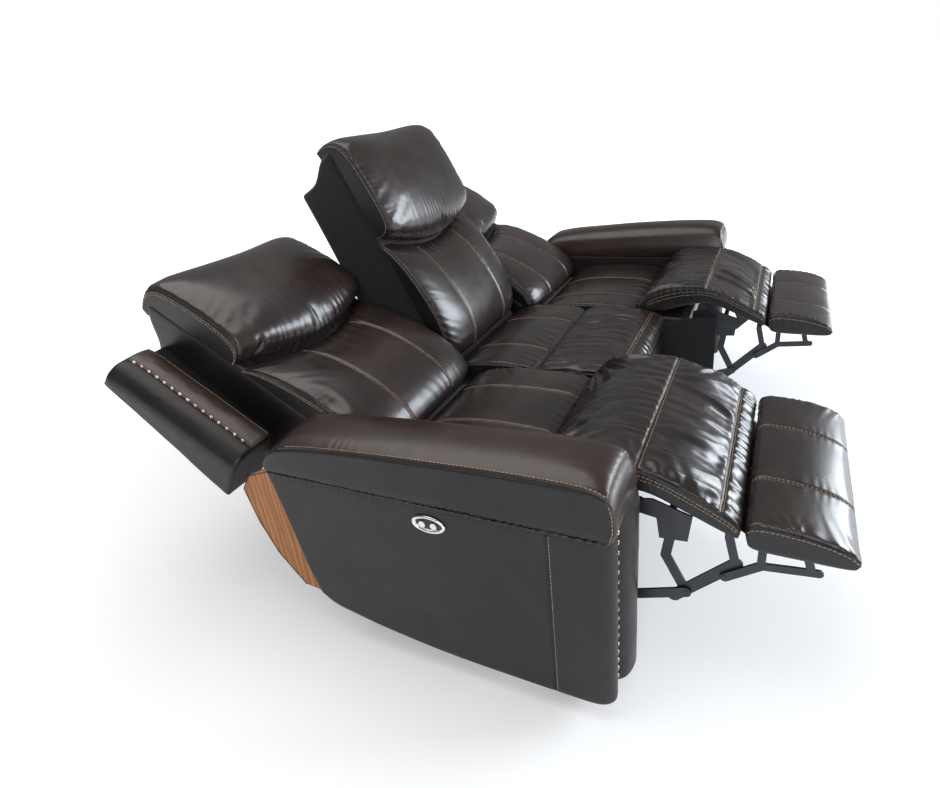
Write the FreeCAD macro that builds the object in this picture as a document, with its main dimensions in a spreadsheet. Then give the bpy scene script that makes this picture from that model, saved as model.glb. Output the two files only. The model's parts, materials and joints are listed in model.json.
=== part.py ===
import FreeCAD
import Part
import Sketcher
import math
import os

# Three-seat power reclining sofa, millimetres.
# Working axes: X along the sofa (sitter's right at -X), Y to the rear, Z up.
# Drawn with both outer seats reclined and both footrests out. The plane y = 0 of the
# drawing is the inner front face of the arms; every node is shifted back by y_shift so
# that the row origin is the middle of the footprint, on the floor.

V = FreeCAD.Vector
doc = FreeCAD.newDocument("reclining_sofa")
sheet = doc.addObject("Spreadsheet::Sheet", "Dim")

VALUES = {}


class Num:
    """A number that remembers the sheet expression it came from."""

    def __init__(self, v, txt=None):
        self.v = float(v)
        self.txt = txt

    def _join(self, o, op, v):
        o = num(o)
        if self.txt is None and o.txt is None:
            return Num(v)
        return Num(v, "(%s %s %s)" % (self.s(), op, o.s()))

    def s(self):
        return self.txt if self.txt is not None else "(%.6f)" % self.v

    def __add__(self, o):
        return self._join(o, "+", self.v + num(o).v)

    def __radd__(self, o):
        return num(o) + self

    def __sub__(self, o):
        return self._join(o, "-", self.v - num(o).v)

    def __rsub__(self, o):
        return num(o) - self

    def __mul__(self, o):
        return self._join(o, "*", self.v * num(o).v)

    def __rmul__(self, o):
        return num(o) * self

    def __neg__(self):
        return Num(-self.v, None if self.txt is None else "(0 - %s)" % self.txt)


def num(x):
    return x if isinstance(x, Num) else Num(x)


ROWS = [
    ("total_w", 2160.0, "overall width"),
    ("y_shift", 490.0, "drawing plane y = 0 to the row origin"),
    ("arm_in", 897.0, "inner face of an arm from the middle plane"),
    ("arm_skin", 1074.0, "outer face of the arm's side panel"),
    ("arm_seam", 516.0, "height of the seam below the arm pad"),
    ("arm_low", 52.0, "height of the arm cover's lower edge"),
    ("unit_mid", 595.0, "middle of a reclining seat"),
    ("steel_t", 5.0, "plate thickness of the mechanism"),
    ("plate_off", 251.0, "inner face of the side plates from the seat's middle"),
    ("knee_y", 0.0, "footrest hinge"),
    ("knee_z", 450.0, "footrest hinge"),
    ("back_y", 640.0, "back hinge"),
    ("back_z", 400.0, "back hinge"),
    ("crank_y", -108.0, "footrest bracket pivot"),
    ("crank_z", 237.0, "footrest bracket pivot"),
    ("rock_y", 148.0, "rocker hinge"),
    ("rock_z", 395.0, "rocker hinge"),
    ("fold_y", -185.0, "ottoman hinge"),
    ("fold_z", 305.0, "ottoman hinge"),
    ("swing_fy", 300.0, "front swing arm, floor pivot"),
    ("swing_ry", 620.0, "rear swing arm, floor pivot"),
    ("swing_low", 75.0, "height of the floor pivots"),
    ("swing_dy", 65.0, "lean of the swing arms"),
    ("swing_up", 190.0, "rise of the swing arms"),
    ("pin_rad", 6.0, "pivot pin radius"),
    ("pin_gap", 0.06, "running clearance on a pin"),
    ("seat_half", 284.0, "half width of a seat cushion"),
    ("deck_z", 418.0, "underside of a seat cushion"),
    ("nail_rad", 5.5, "nailhead radius"),
    ("button_rad", 8.0, "switch button radius"),
    ("switch_y", 397.0, "middle of the switch plate"),
    ("switch_z", 468.0, "middle of the switch plate"),
    ("back_ang", 31.6, "slope of the reclined backs"),
    ("mid_ang", 65.6, "slope of the fixed middle back"),
]
for i, (name, value, note) in enumerate(ROWS, start=1):
    sheet.set("A%d" % i, name)
    sheet.set("B%d" % i, "%r" % value)
    sheet.setAlias("B%d" % i, name)
    sheet.set("C%d" % i, note)
    VALUES[name] = value
doc.recompute()


def D(name):
    return Num(VALUES[name], "Dim.%s" % name)


COUNT = [0]


def uid(stem):
    COUNT[0] += 1
    return "%s_%d" % (stem, COUNT[0])


def bind(obj, prop, value):
    value = num(value)
    if value.txt is not None:
        obj.setExpression(prop, value.txt)


def prism(pts, x0, x1):
    """Body: a closed outline in the side plane (y, z), padded from x0 to x1."""
    body = doc.addObject("PartDesign::Body", uid("prism"))
    sk = body.newObject("Sketcher::SketchObject", uid("outline"))
    plane = [f for f in body.Origin.OriginFeatures if f.Role == "YZ_Plane"][0]
    sk.AttachmentSupport = [(plane, "")]
    sk.MapMode = "FlatFace"
    pts = [(num(a), num(b)) for a, b in pts]
    n = len(pts)
    for i in range(n):
        a, b = pts[i], pts[(i + 1) % n]
        sk.addGeometry(Part.LineSegment(V(a[0].v, a[1].v, 0), V(b[0].v, b[1].v, 0)), False)
    for i in range(n):
        sk.addConstraint(Sketcher.Constraint("Coincident", i, 2, (i + 1) % n, 1))
    for i in range(n):
        for kind, val in (("DistanceX", pts[i][0]), ("DistanceY", pts[i][1])):
            k = sk.addConstraint(Sketcher.Constraint(kind, i, 1, val.v))
            if val.txt is not None:
                sk.setExpression("Constraints[%d]" % k, val.txt)
    x0, x1 = num(x0), num(x1)
    sk.AttachmentOffset = FreeCAD.Placement(V(0, 0, x0.v), FreeCAD.Rotation())
    bind(sk, "AttachmentOffset.Base.z", x0)
    pad = body.newObject("PartDesign::Pad", uid("pad"))
    pad.Profile = sk
    pad.Length = (x1 - x0).v
    bind(pad, "Length", x1 - x0)
    body.Tip = pad
    return body


def box(x0, x1, y0, y1, z0, z1):
    b = doc.addObject("Part::Box", uid("block"))
    for prop, lo, hi in (("Length", x0, x1), ("Width", y0, y1), ("Height", z0, z1)):
        size = num(hi) - num(lo)
        setattr(b, prop, size.v)
        bind(b, prop, size)
    b.Placement = FreeCAD.Placement(V(num(x0).v, num(y0).v, num(z0).v), FreeCAD.Rotation())
    for ax, lo in (("x", x0), ("y", y0), ("z", z0)):
        bind(b, "Placement.Base.%s" % ax, lo)
    return b


def rod(y, z, r, x0, x1):
    """Round bar along X."""
    c = doc.addObject("Part::Cylinder", uid("rod"))
    c.Radius = num(r).v
    bind(c, "Radius", r)
    h = num(x1) - num(x0)
    c.Height = h.v
    bind(c, "Height", h)
    c.Placement = FreeCAD.Placement(V(num(x0).v, num(y).v, num(z).v), FreeCAD.Rotation(V(0, 1, 0), 90))
    for ax, lo in (("x", x0), ("y", y), ("z", z)):
        bind(c, "Placement.Base.%s" % ax, lo)
    return c


def post(x, y, r, z0, z1):
    c = doc.addObject("Part::Cylinder", uid("post"))
    c.Radius = num(r).v
    bind(c, "Radius", r)
    h = num(z1) - num(z0)
    c.Height = h.v
    bind(c, "Height", h)
    c.Placement = FreeCAD.Placement(V(num(x).v, num(y).v, num(z0).v), FreeCAD.Rotation())
    return c


def stud(x, y, z, r, length):
    """Short round bar along Y."""
    c = doc.addObject("Part::Cylinder", uid("stud"))
    c.Radius = num(r).v
    bind(c, "Radius", r)
    c.Height = length
    c.Placement = FreeCAD.Placement(V(x, y, z), FreeCAD.Rotation(V(1, 0, 0), -90))
    return c


def bar(p0, p1, r, x0, x1):
    """Flat link with round ends between two points of the side plane."""
    y0, z0 = num(p0[0]).v, num(p0[1]).v
    y1, z1 = num(p1[0]).v, num(p1[1]).v
    d = math.hypot(y1 - y0, z1 - z0)
    a = math.degrees(math.atan2(z1 - z0, y1 - y0))
    b = doc.addObject("Part::Box", uid("web"))
    t = num(x1) - num(x0)
    b.Length = t.v
    bind(b, "Length", t)
    b.Width = d
    b.Height = 2 * num(r).v
    bind(b, "Height", 2 * num(r))
    rot = FreeCAD.Rotation(V(1, 0, 0), a)
    base = V(num(x0).v, y0, z0) + rot.multVec(V(0, 0, -num(r).v))
    b.Placement = FreeCAD.Placement(base, rot)
    return [b, rod(p0[0], p0[1], r, x0, x1), rod(p1[0], p1[1], r, x0, x1)]


def fuse(items):
    if len(items) == 1:
        return items[0]
    f = doc.addObject("Part::MultiFuse", uid("joined"))
    f.Shapes = items
    f.Refine = True
    return f


def cut(base, tools):
    c = doc.addObject("Part::Cut", uid("cut"))
    c.Base = base
    c.Tool = fuse(tools)
    c.Refine = True
    return c


def group(items):
    g = doc.addObject("Part::Compound", uid("group"))
    g.Links = items
    return g


NODES = {}


def node(name, obj, base=None, angle=None):
    """Name a sub-part and set it in the row frame."""
    if obj.TypeId in ("Part::Cylinder", "Part::Box"):
        obj = group([obj])
    obj.Label = name
    by, bz = (0.0, 0.0) if base is None else base
    rot = FreeCAD.Rotation() if angle is None else FreeCAD.Rotation(V(1, 0, 0), angle)
    obj.Placement = FreeCAD.Placement(V(0, by - VALUES["y_shift"], bz), rot)
    bind(obj, "Placement.Base.y", by - D("y_shift"))
    NODES[name] = obj
    return obj


pin = D("pin_rad")
hole = D("pin_rad") + D("pin_gap")
knee = (D("knee_y"), D("knee_z"))
hinge = (D("back_y"), D("back_z"))
crank = (D("crank_y"), D("crank_z"))
rock = (D("rock_y"), D("rock_z"))
elbow = (rock[0] + crank[0] - knee[0], rock[1] + crank[1] - knee[1])
fold = (D("fold_y"), D("fold_z"))
front_low = (D("swing_fy"), D("swing_low"))
front_top = (D("swing_fy") - D("swing_dy"), D("swing_low") + D("swing_up"))
rear_low = (D("swing_ry"), D("swing_low"))
rear_top = (D("swing_ry") - D("swing_dy"), D("swing_low") + D("swing_up"))
LEVER = (619.5, 333.0)      # lower end of the back bracket
GUIDE = (419.5, 333.0)      # sliding end of the recline link
EAR = (88.07, 392.0)        # actuator ear on the rocker
NUT = (201.5, 293.2)        # actuator nut pin
PUSH = (206.31, 299.66)     # rear eye of the push link

BACK_O = (665.0, 505.0)
MID_O = (725.0, 500.0)


def outline_cushion():
    return [(6, -4), (6, -100), (438, -100), (438, -14), (410, 0), (300, 22), (140, 26), (40, 10)]


def outline_pillow():
    return [(446, -14), (446, -100), (788, -100), (792, -80), (772, -24), (742, 8), (640, 32),
            (520, 24), (470, 6)]


def back_shell(x0, x1, low, wall=6.0):
    """Outer back: rear panel, two side walls and the top, in the back's own axes."""
    side = [(10, -6), (440, -16), (760, -30), (786, -84), (786, -108), (702, -108), (702, -244), (20, -290),
            (10, -200)]
    parts = [
        prism([(low, -278 - (20 - low) * 0.02), (700, -232), (702, -244), (low, -290 - (20 - low) * 0.02)], x0, x1),
        prism(side, x0, num(x0) + wall),
        prism(side, num(x1) - wall, x1),
        prism([(694, -240), (694, -104), (702, -104), (702, -244)], x0, x1),
        prism([(700, -100), (786, -100), (786, -108), (700, -108)], x0, x1),
    ]
    return parts


# --------------------------------------------------------------------------- arms, fixed
def arm(tag, s):
    def xr(a, b):
        a, b = num(a), num(b)
        return (-b, -a) if s < 0 else (a, b)

    inn, skin, seam, low = D("arm_in"), D("arm_skin"), D("arm_seam"), D("arm_low")
    frame = [
        prism([(22, 60), (800, 60), (862, 180), (955, 420), (935, 470), (850, seam), (22, seam)],
              *xr(inn + 7, inn + 21)),
        prism([(22, 60), (430, 74), (680, 108), (740, 118), (848, 130), (918, 225), (954, 320), (974, 425),
               (940, 470), (850, seam), (22, seam)], *xr(1039, skin - 21)),
        box(*xr(inn + 21, 1039), 22, 62, 64, seam),
        box(*xr(inn + 21, 1039), 690, 730, 112, seam),
        box(*xr(inn + 21, 1039), 62, 690, seam - 15, seam),
    ]
    node("arm_frame_" + tag, fuse(frame))
    cover = fuse([
        prism([(22, low), (436, low + 6), (683, 96), (745, 108), (778, 140), (800, 226), (852, 500), (852, seam),
               (22, seam)], *xr(skin - 21, skin)),
        box(*xr(inn, skin), 0, 22, low, seam),
        prism([(22, 112), (768, 112), (790, 150), (840, 400), (850, seam), (22, seam)], *xr(inn, inn + 7)),
    ])
    pocket = box(*xr(skin - 14, skin + 1), D("switch_y") - 30, D("switch_y") + 30, D("switch_z") - 14,
                 D("switch_z") + 14)
    node("arm_cover_" + tag, cut(cover, [pocket]))
    node("arm_pad_" + tag, prism(
        [(-2, seam), (-4, 600), (10, 632), (60, 648), (350, 642), (640, 625), (780, 608), (840, 570),
         (856, seam)], *xr(inn - 4, 0.5 * D("total_w"))))


arm("right", -1)
arm("left", 1)

nails = []
for s in (-1, 1):
    for i in range(17):
        nails.append(stud(s * 1004.0, -3.0, 84.0 + 25.5 * i, D("nail_rad"), 3.0))
node("arm_nailheads", group(nails))

plates = []
for s in (-1, 1):
    def xr(a, b, s=s):
        a, b = num(a), num(b)
        return (-b, -a) if s < 0 else (a, b)
    xa, xb = xr(D("arm_skin"), D("arm_skin") + 4)
    sy, sz = D("switch_y"), D("switch_z")
    oval = fuse([box(xa, xb, sy - 23, sy + 23, sz - 24, sz + 24), rod(sy - 23, sz, 24, xa, xb),
                 rod(sy + 23, sz, 24, xa, xb)])
    plates.append(cut(oval, [rod(sy - 14, sz, D("button_rad") + 0.3, xa - 1, xb + 1),
                             rod(sy + 14, sz, D("button_rad") + 0.3, xa - 1, xb + 1)]))
    tag = "right" if s < 0 else "left"
    for what, dy in (("open", -14), ("close", 14)):
        xa, xb = xr(D("arm_skin") - 8, D("arm_skin") + 6)
        node("switch_button_%s_%s" % (what, tag), rod(sy + dy, sz, D("button_rad"), xa, xb))
node("switch_plates", group(plates))


# ------------------------------------------------------------- one reclining seat, twice
def unit(tag, s):
    mid = D("unit_mid")
    po, st = D("plate_off"), D("steel_t")

    def xr(a, b):
        a, b = num(a), num(b)
        return (-b, -a) if s < 0 else (a, b)

    def layer(k):
        """Two mirrored slots for plates. k = 0 is the seat's side plate; positive is outwards."""
        a = mid + po + k * 6.0
        return [xr(a, a + st), xr(2.0 * mid - a - st, 2.0 * mid - a)]

    def both(fn, k, grow_in=0.0, grow_out=0.0):
        out = []
        a = mid + po + k * 6.0
        lo, hi = a - grow_in, a + st + grow_out
        out += fn(*xr(lo, hi))
        out += fn(*xr(2.0 * mid - hi, 2.0 * mid - lo))
        return out

    # floor frame of the mechanism
    base = []
    for a, b in ((846.5, 876.0), (314.0, 343.5)):
        base.append(box(*xr(a, b), 190, 930, 24, 64))
    base += [box(*xr(343.5, 846.5), 200, 230, 28, 54), box(*xr(343.5, 846.5), 880, 910, 28, 54)]
    for a, b in ((876, D("arm_in") + 7), (294, 314)):
        for y in (196.0, 700.0):
            base.append(box(*xr(a, b), y, y + 40, 30, 64))
    for a, b in ((D("arm_in") + 2, D("arm_in") + 7), (294, 299)):
        for y in (196.0, 700.0):
            base.append(box(*xr(a, b), y, y + 40, 30, 104))
    for a, b in ((846.5, 852.5), (337.5, 343.5)):
        for p in (front_low, rear_low):
            base.append(box(*xr(a, b), p[0] - 16, p[0] + 16, 60, 93))
    bores = [rod(p[0], p[1], hole, *xr(335, 855)) for p in (front_low, rear_low)]
    node("mechanism_base_" + tag, cut(fuse(base), bores))

    # swing arms that carry the seat over the floor frame
    for what, lo, hi in (("front", front_low, front_top), ("rear", rear_low, rear_top)):
        parts = both(lambda a, b: bar(lo, hi, 14, a, b), -1)
        parts.append(rod(lo[0], lo[1], 11, *xr(350, 840)))
        parts += both(lambda a, b: [rod(lo[0], lo[1], pin, a, b)], -1, 0, 7)
        parts += both(lambda a, b: [rod(hi[0], hi[1], pin, a, b)], -1, 0, 6)
        node("swing_frame_%s_%s" % (what, tag), fuse(parts))

    # seat chassis: side plates, cross tubes and the fixed pins
    side = [(0, 432), (48, 400), (48, 290), (90, 236), (690, 236), (690, 340), (668, 400), (655, 424), (625, 424),
            (606, 415), (50, 415), (42, 464), (0, 468)]
    parts = []
    for a, b in layer(0):
        parts += [prism(side, a, b), rod(knee[0], knee[1], 18, a, b)]
    parts += [box(*xr(344, 846), 92, 116, 250, 274), box(*xr(344, 846), 600, 624, 250, 274)]
    body = fuse(parts)
    tools = []
    for a, b in layer(0):
        tools += [rod(p[0], p[1], hole, a - 1, b + 1) for p in (front_top, rear_top)]
        tools += [rod(hinge[0], hinge[1], 8.06, a - 1, b + 1), rod(rock[0], rock[1], 10.06, a - 1, b + 1)]
        tools.append(box(a - 1, b + 1, GUIDE[0] - 8.5, GUIDE[0] + 49.5, GUIDE[1] - 8.5, GUIDE[1] + 5.5))
    body = cut(body, tools)
    pins = both(lambda a, b: [rod(knee[0], knee[1], pin, a, b)], 0, 0, 7.5)
    node("seat_chassis_" + tag, fuse([body] + pins))

    # spring deck
    parts = [box(*xr(344, 846), 56, 68, 384, D("deck_z")), box(*xr(344, 846), 574, 586, 384, D("deck_z"))]
    for k in range(6):
        x = 400.0 + 78.0 * k
        parts.append(box(*xr(x - 2, x + 2), 68, 574, 413, 417))
    node("seat_springs_" + tag, fuse(parts))

    dk = D("deck_z")
    node("seat_cushion_" + tag, prism(
        [(52, dk), (598, dk), (598, 468), (420, 482), (250, 466), (150, 515), (60, 548), (4, 552), (4, 476),
         (52, 476)], *xr(mid - D("seat_half"), mid + D("seat_half"))))

    # power drive: gear motor and rail on the chassis, travelling nut, push link
    drive = [box(*xr(585, 605), 116, 500, 262, 282), box(*xr(560, 630), 480, 600, 246, 312)]
    drive.append(rod(548, 330, 30, *xr(566, 624)))
    node("actuator_" + tag, fuse(drive))
    ny, nz = NUT
    parts = [box(*xr(578, 612), ny - 22, ny + 22, 283, 306), box(*xr(578, 584.4), ny - 22, ny + 22, 260, 284),
             box(*xr(605.6, 612), ny - 22, ny + 22, 260, 284), rod(ny, nz, 5, *xr(566, 624))]
    node("actuator_nut_" + tag, fuse(parts))
    parts = []
    for a, b in ((570, 576), (614, 620)):
        parts += bar(EAR, PUSH, 11, *xr(a, b))
        parts.append(rod(PUSH[0], PUSH[1], 19, *xr(a, b)))
    parts.append(rod(EAR[0], EAR[1], pin, *xr(570, 620)))
    body = cut(fuse(parts), [rod(PUSH[0], PUSH[1], 13.8, *xr(568, 622))])
    node("push_link_" + tag, body)

    # rocker: torque tube, two arms, the actuator ear
    parts = both(lambda a, b: bar(rock, elbow, 14, a, b), 3)
    parts.append(rod(rock[0], rock[1], 10, *xr(326, 864)))
    parts += both(lambda a, b: [rod(elbow[0], elbow[1], pin, a, b)], 3, 6.5, 0)
    parts += bar(EAR, (rock[0], rock[1]), 12, *xr(586, 604))
    body = cut(fuse(parts), [rod(EAR[0], EAR[1], hole, *xr(584, 606))])
    node("rocker_frame_" + tag, body)

    # drive links between the footrest brackets and the rocker
    parts = []
    for a, b in layer(2):
        parts.append(cut(fuse(bar(crank, elbow, 13, a, b)),
                         [rod(crank[0], crank[1], hole, a - 1, b + 1), rod(elbow[0], elbow[1], hole, a - 1, b + 1)]))
    node("drive_links_" + tag, group(parts))

    # footrest: brackets, cross tubes
    parts = []
    for a, b in [(p[0], p[1]) for p in layer(1)]:
        parts += [prism([(12, 434), (14, 464), (-30, 472.4), (-62, 461.5), (-113, 444.2), (-106, 377), (-47, 373),
                         (-40, 425)], a, b), rod(knee[0], knee[1], 17, a, b)]
        parts += bar((-70, 385), (-62, 328), 11, a, b)
        parts += bar((-62, 328), crank, 11, a, b)
        parts += bar((-84, 214), (-204, 342), 14, a, b)
        parts += bar((-202, 345), (-186, 409.8), 9, a, b)
    parts += [rod(-186, 409.8, 9, *xr(338, 852)), rod(-72, 449.7, 8, *xr(338, 852))]
    body = cut(fuse(parts), [rod(knee[0], knee[1], hole, *xr(320, 339)), rod(knee[0], knee[1], hole, *xr(851, 870))])
    pins = both(lambda a, b: [rod(crank[0], crank[1], pin, a, b)], 1, 0, 7)
    pins += both(lambda a, b: [rod(fold[0], fold[1], pin, a, b)], 1, 0, 7)
    node("footrest_bracket_" + tag, fuse([body] + pins))
    node("chaise_pad_" + tag, prism(
        [(-8, 480), (-196, 416), (-199, 440), (-198, 482), (-120, 530), (-40, 560), (-8, 560)],
        *xr(mid - 289, mid + 289)))

    # ottoman
    parts = []
    for a, b in layer(2):
        parts += bar(fold, (-250, 355), 10, a, b)
        parts += bar((-250, 355), (-352, 366), 9, a, b)
        parts += bar((-340, 366), (-332, 392.4), 8, a, b)
        parts += bar((-250, 355), (-250, 392.4), 8, a, b)
    parts += [rod(-332, 392.4, 8, *xr(332, 858)), rod(-250, 392.4, 8, *xr(332, 858))]
    body = cut(fuse(parts), [rod(fold[0], fold[1], hole, *xr(320, 334)), rod(fold[0], fold[1], hole, *xr(856, 870))])
    node("ottoman_bracket_" + tag, body)
    node("ottoman_pad_" + tag, prism(
        [(-224, 412), (-224, 466), (-232, 472), (-310, 468), (-395, 448), (-416, 432), (-412, 408), (-395, 400.5),
         (-234, 400.5)], *xr(mid - 287, mid + 287)))

    # back: timber frame with hinge brackets (row axes)
    ang = D("back_ang").v

    def to_side(p):
        c, sn = math.cos(math.radians(ang)), math.sin(math.radians(ang))
        return (BACK_O[0] + p[0] * c - p[1] * sn, BACK_O[1] + p[0] * sn + p[1] * c)

    boards = []
    for a, b in ((821, 840), (350, 369)):
        boards.append(prism([to_side(p) for p in [(-10, -100), (694, -100), (694, -200), (40, -240), (-10, -200)]],
                            *xr(a, b)))
    boards.append(prism([to_side(p) for p in [(650, -100), (694, -100), (694, -200), (650, -200)]], *xr(309, 881)))
    boards.append(prism([to_side(p) for p in [(10, -106), (50, -106), (50, -200), (10, -200)]], *xr(309, 881)))
    brk = both(lambda a, b: bar(hinge, (795, 409), 17, a, b), -1)
    brk += both(lambda a, b: bar(hinge, LEVER, 12, a, b), -1)
    brk += both(lambda a, b: [rod(hinge[0], hinge[1], 8, a, b)], -1, 0, 6)
    brk += both(lambda a, b: [rod(LEVER[0], LEVER[1], 5, a, b)], -1, 6.5, 0)
    node("back_frame_" + tag, fuse(boards + brk))

    parts = []
    for a, b in layer(-2):
        out = xr(0, 1)
        bars = fuse(bar(GUIDE, LEVER, 10, a, b))
        parts.append(cut(bars, [rod(LEVER[0], LEVER[1], 5.06, a - 1, b + 1)]))
    pins = both(lambda a, b: [rod(GUIDE[0], GUIDE[1], 5, a, b)], -2, 0, 12)
    node("recline_links_" + tag, group([fuse([p, q]) for p, q in zip(parts, pins)]))

    node("back_cushion_" + tag, prism(outline_cushion(), *xr(mid - 284, mid + 284)), BACK_O, ang)
    node("head_pillow_" + tag, prism(outline_pillow(), *xr(mid - 284, mid + 284)), BACK_O, ang)
    xa, xb = xr(mid - 292, mid + 292)
    shell = back_shell(xa, xb, 20)
    shell.append(prism([(282, -142), (684, -147), (712, -172), (712, -214), (249, -290), (258, -215)],
                       *xr(926, 1066)))
    shell.append(prism([(330, -246), (680, -224), (680, -236), (330, -258)], *xr(886, 927)))
    node("back_cover_" + tag, fuse(shell), BACK_O, ang)
    studs = []
    for i in range(15):
        d = 292.0 + 27.2 * i
        c = doc.addObject("Part::Cylinder", uid("nail"))
        c.Radius = D("nail_rad").v
        bind(c, "Radius", D("nail_rad"))
        c.Height = 3.0
        hh = -141.95 - 5.0 * (d - 282.0) / 402.0
        c.Placement = FreeCAD.Placement(V(s * 1000.0, d, hh), FreeCAD.Rotation())
        studs.append(c)
    node("back_nailheads_" + tag, group(studs), BACK_O, ang)


unit("right", -1)
unit("left", 1)

# ----------------------------------------------------------------- fixed middle seat
ma = D("mid_ang").v


def mid_side(p):
    c, sn = math.cos(math.radians(ma)), math.sin(math.radians(ma))
    return (MID_O[0] + p[0] * c - p[1] * sn, MID_O[1] + p[0] * sn + p[1] * c)


box_side = [(170, 60), (860, 60), (900, 340), (905, 400), (790, 400), (760, 375), (170, 375)]
frame = []
for a, b in ((278, 294), (-294, -278)):
    frame.append(prism(box_side, a, b))
frame += [box(-278, 278, 170, 188, 60, 375), box(-278, 278, 742, 760, 60, 330), box(-278, 278, 188, 742, 357, 375)]
for a, b in ((260, 278), (-278, -260)):
    frame.append(prism([mid_side(p) for p in [(-60, -100), (694, -100), (694, -200), (-60, -240)]], a, b))
frame.append(prism([mid_side(p) for p in [(650, -100), (694, -100), (694, -200), (650, -200)]], -288, 288))
node("middle_frame", fuse(frame))
node("middle_seat_cushion", prism(
    [(128, 90), (170, 90), (170, 375), (735, 375), (735, 455), (600, 478), (440, 466), (330, 480), (200, 474),
     (150, 457), (128, 420)], -296, 296))
node("middle_back_cushion", prism(outline_cushion(), -286, 286), MID_O, ma)
node("middle_head_pillow", prism(outline_pillow(), -286, 286), MID_O, ma)
node("middle_back_cover", fuse(back_shell(num(-294), num(294), -250)), MID_O, ma)

# feet
feet = []
for s in (-1, 1):
    for x in (329.0, 861.0):
        for y in (216.0, 895.0):
            feet.append(post(s * x, y, 16, 0, 24))
    feet.append(post(s * 980.0, 65.0, 20, 0, 64))
    feet.append(post(s * 980.0, 710.0, 20, 0, 112))
    for y in (184.0, 740.0):
        feet.append(post(s * 262.0, y, 18, 0, 60))
node("feet", group(feet))

doc.recompute()


def bounds():
    bb = FreeCAD.BoundBox()
    for o in NODES.values():
        bb.add(o.Shape.BoundBox)
    return bb


# put the row origin in the middle of the footprint
bb = bounds()
off = 0.5 * (bb.YMin + bb.YMax)
row = [r[0] for r in ROWS].index("y_shift") + 1
sheet.set("B%d" % row, "%.4f" % (VALUES["y_shift"] + off))
doc.recompute()

bad = [o.Name + " " + o.Label for o in doc.Objects if "Invalid" in o.State or "Error" in o.State]
for name, o in NODES.items():
    if o.Label != name:
        bad.append("label " + o.Label)
    if o.Shape.isNull() or not o.Shape.isValid() or not o.Shape.Solids:
        bad.append("shape " + name)
if bad:
    raise SystemExit("failed objects: %s" % bad)

os.makedirs("parts", exist_ok=True)
for f in os.listdir("parts"):
    if f.endswith(".step") and f[:-5] not in NODES:
        os.remove(os.path.join("parts", f))
for name, o in NODES.items():
    o.Shape.exportStep(os.path.join("parts", name + ".step"))
bb = bounds()
print("nodes", len(NODES), "solids", sum(len(o.Shape.Solids) for o in NODES.values()))
print("bounds", [round(v, 2) for v in (bb.XMin, bb.XMax, bb.YMin, bb.YMax, bb.ZMin, bb.ZMax)])
print("y_shift", sheet.get("y_shift"))
for name, o in NODES.items():
    print("  %-34s %2d solids  %9.1f cm3" % (name, len(o.Shape.Solids), o.Shape.Volume / 1000.0))
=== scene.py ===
"""Looks of a reclining sofa: padded leather pieces, stitching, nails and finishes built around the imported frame."""

import json
import math

import bpy
import numpy as np
from mathutils import Matrix, Vector


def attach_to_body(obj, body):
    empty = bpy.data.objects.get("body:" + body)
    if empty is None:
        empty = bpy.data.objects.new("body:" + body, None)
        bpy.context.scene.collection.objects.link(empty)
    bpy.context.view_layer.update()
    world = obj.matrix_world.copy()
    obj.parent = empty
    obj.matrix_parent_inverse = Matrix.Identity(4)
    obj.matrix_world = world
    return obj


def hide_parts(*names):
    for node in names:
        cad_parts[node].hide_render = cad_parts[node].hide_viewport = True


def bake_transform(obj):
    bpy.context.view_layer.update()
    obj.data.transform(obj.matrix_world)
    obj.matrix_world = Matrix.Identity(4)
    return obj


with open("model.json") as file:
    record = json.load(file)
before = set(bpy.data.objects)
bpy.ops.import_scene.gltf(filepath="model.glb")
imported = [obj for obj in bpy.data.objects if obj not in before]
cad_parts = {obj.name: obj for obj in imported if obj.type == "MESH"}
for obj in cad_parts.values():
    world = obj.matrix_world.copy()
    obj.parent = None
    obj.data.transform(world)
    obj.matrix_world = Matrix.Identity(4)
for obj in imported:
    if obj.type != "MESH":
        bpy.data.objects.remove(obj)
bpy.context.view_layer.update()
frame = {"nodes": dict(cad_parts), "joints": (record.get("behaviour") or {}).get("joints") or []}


NODES = frame["nodes"]
JOINTS = {j["name"]: j for j in frame["joints"]}
# The shapes below are written with y 0 at the arms' inner front plane; the frame's own origin is this much further back.
YC = -JOINTS["footrest_fold_right"]["pos_m"][1]
SIDES = {"right": -1.0, "left": 1.0}

scene = bpy.context.scene


# ------------------------------------------------------------------ noise
def _hash(i, j, k, seed):
    n = (i * 73856093) ^ (j * 19349663) ^ (k * 83492791) ^ (seed * 1640531513)
    n = n & 0xFFFFFFFF
    n = ((n ^ (n >> 15)) * 224682251) & 0xFFFFFFFF
    n = ((n ^ (n >> 13)) * 326648991) & 0xFFFFFFFF
    n = n ^ (n >> 16)
    return n / 2147483647.5 - 1.0


def noise(x, y=0.0, z=0.0, seed=0):
    """Smooth value noise from -1 to 1, the same on every run."""
    x, y, z = np.broadcast_arrays(
        np.asarray(x, float), np.asarray(y, float), np.asarray(z, float)
    )
    a = [np.floor(q) for q in (x, y, z)]
    f = [q - b for q, b in zip((x, y, z), a)]
    f = [t * t * t * (t * (t * 6 - 15) + 10) for t in f]
    i, j, k = [b.astype(np.int64) for b in a]
    out = 0.0
    for di in (0, 1):
        wi = f[0] if di else 1 - f[0]
        for dj in (0, 1):
            wj = f[1] if dj else 1 - f[1]
            for dk in (0, 1):
                wk = f[2] if dk else 1 - f[2]
                out = out + wi * wj * wk * _hash(i + di, j + dj, k + dk, seed)
    return out


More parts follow.
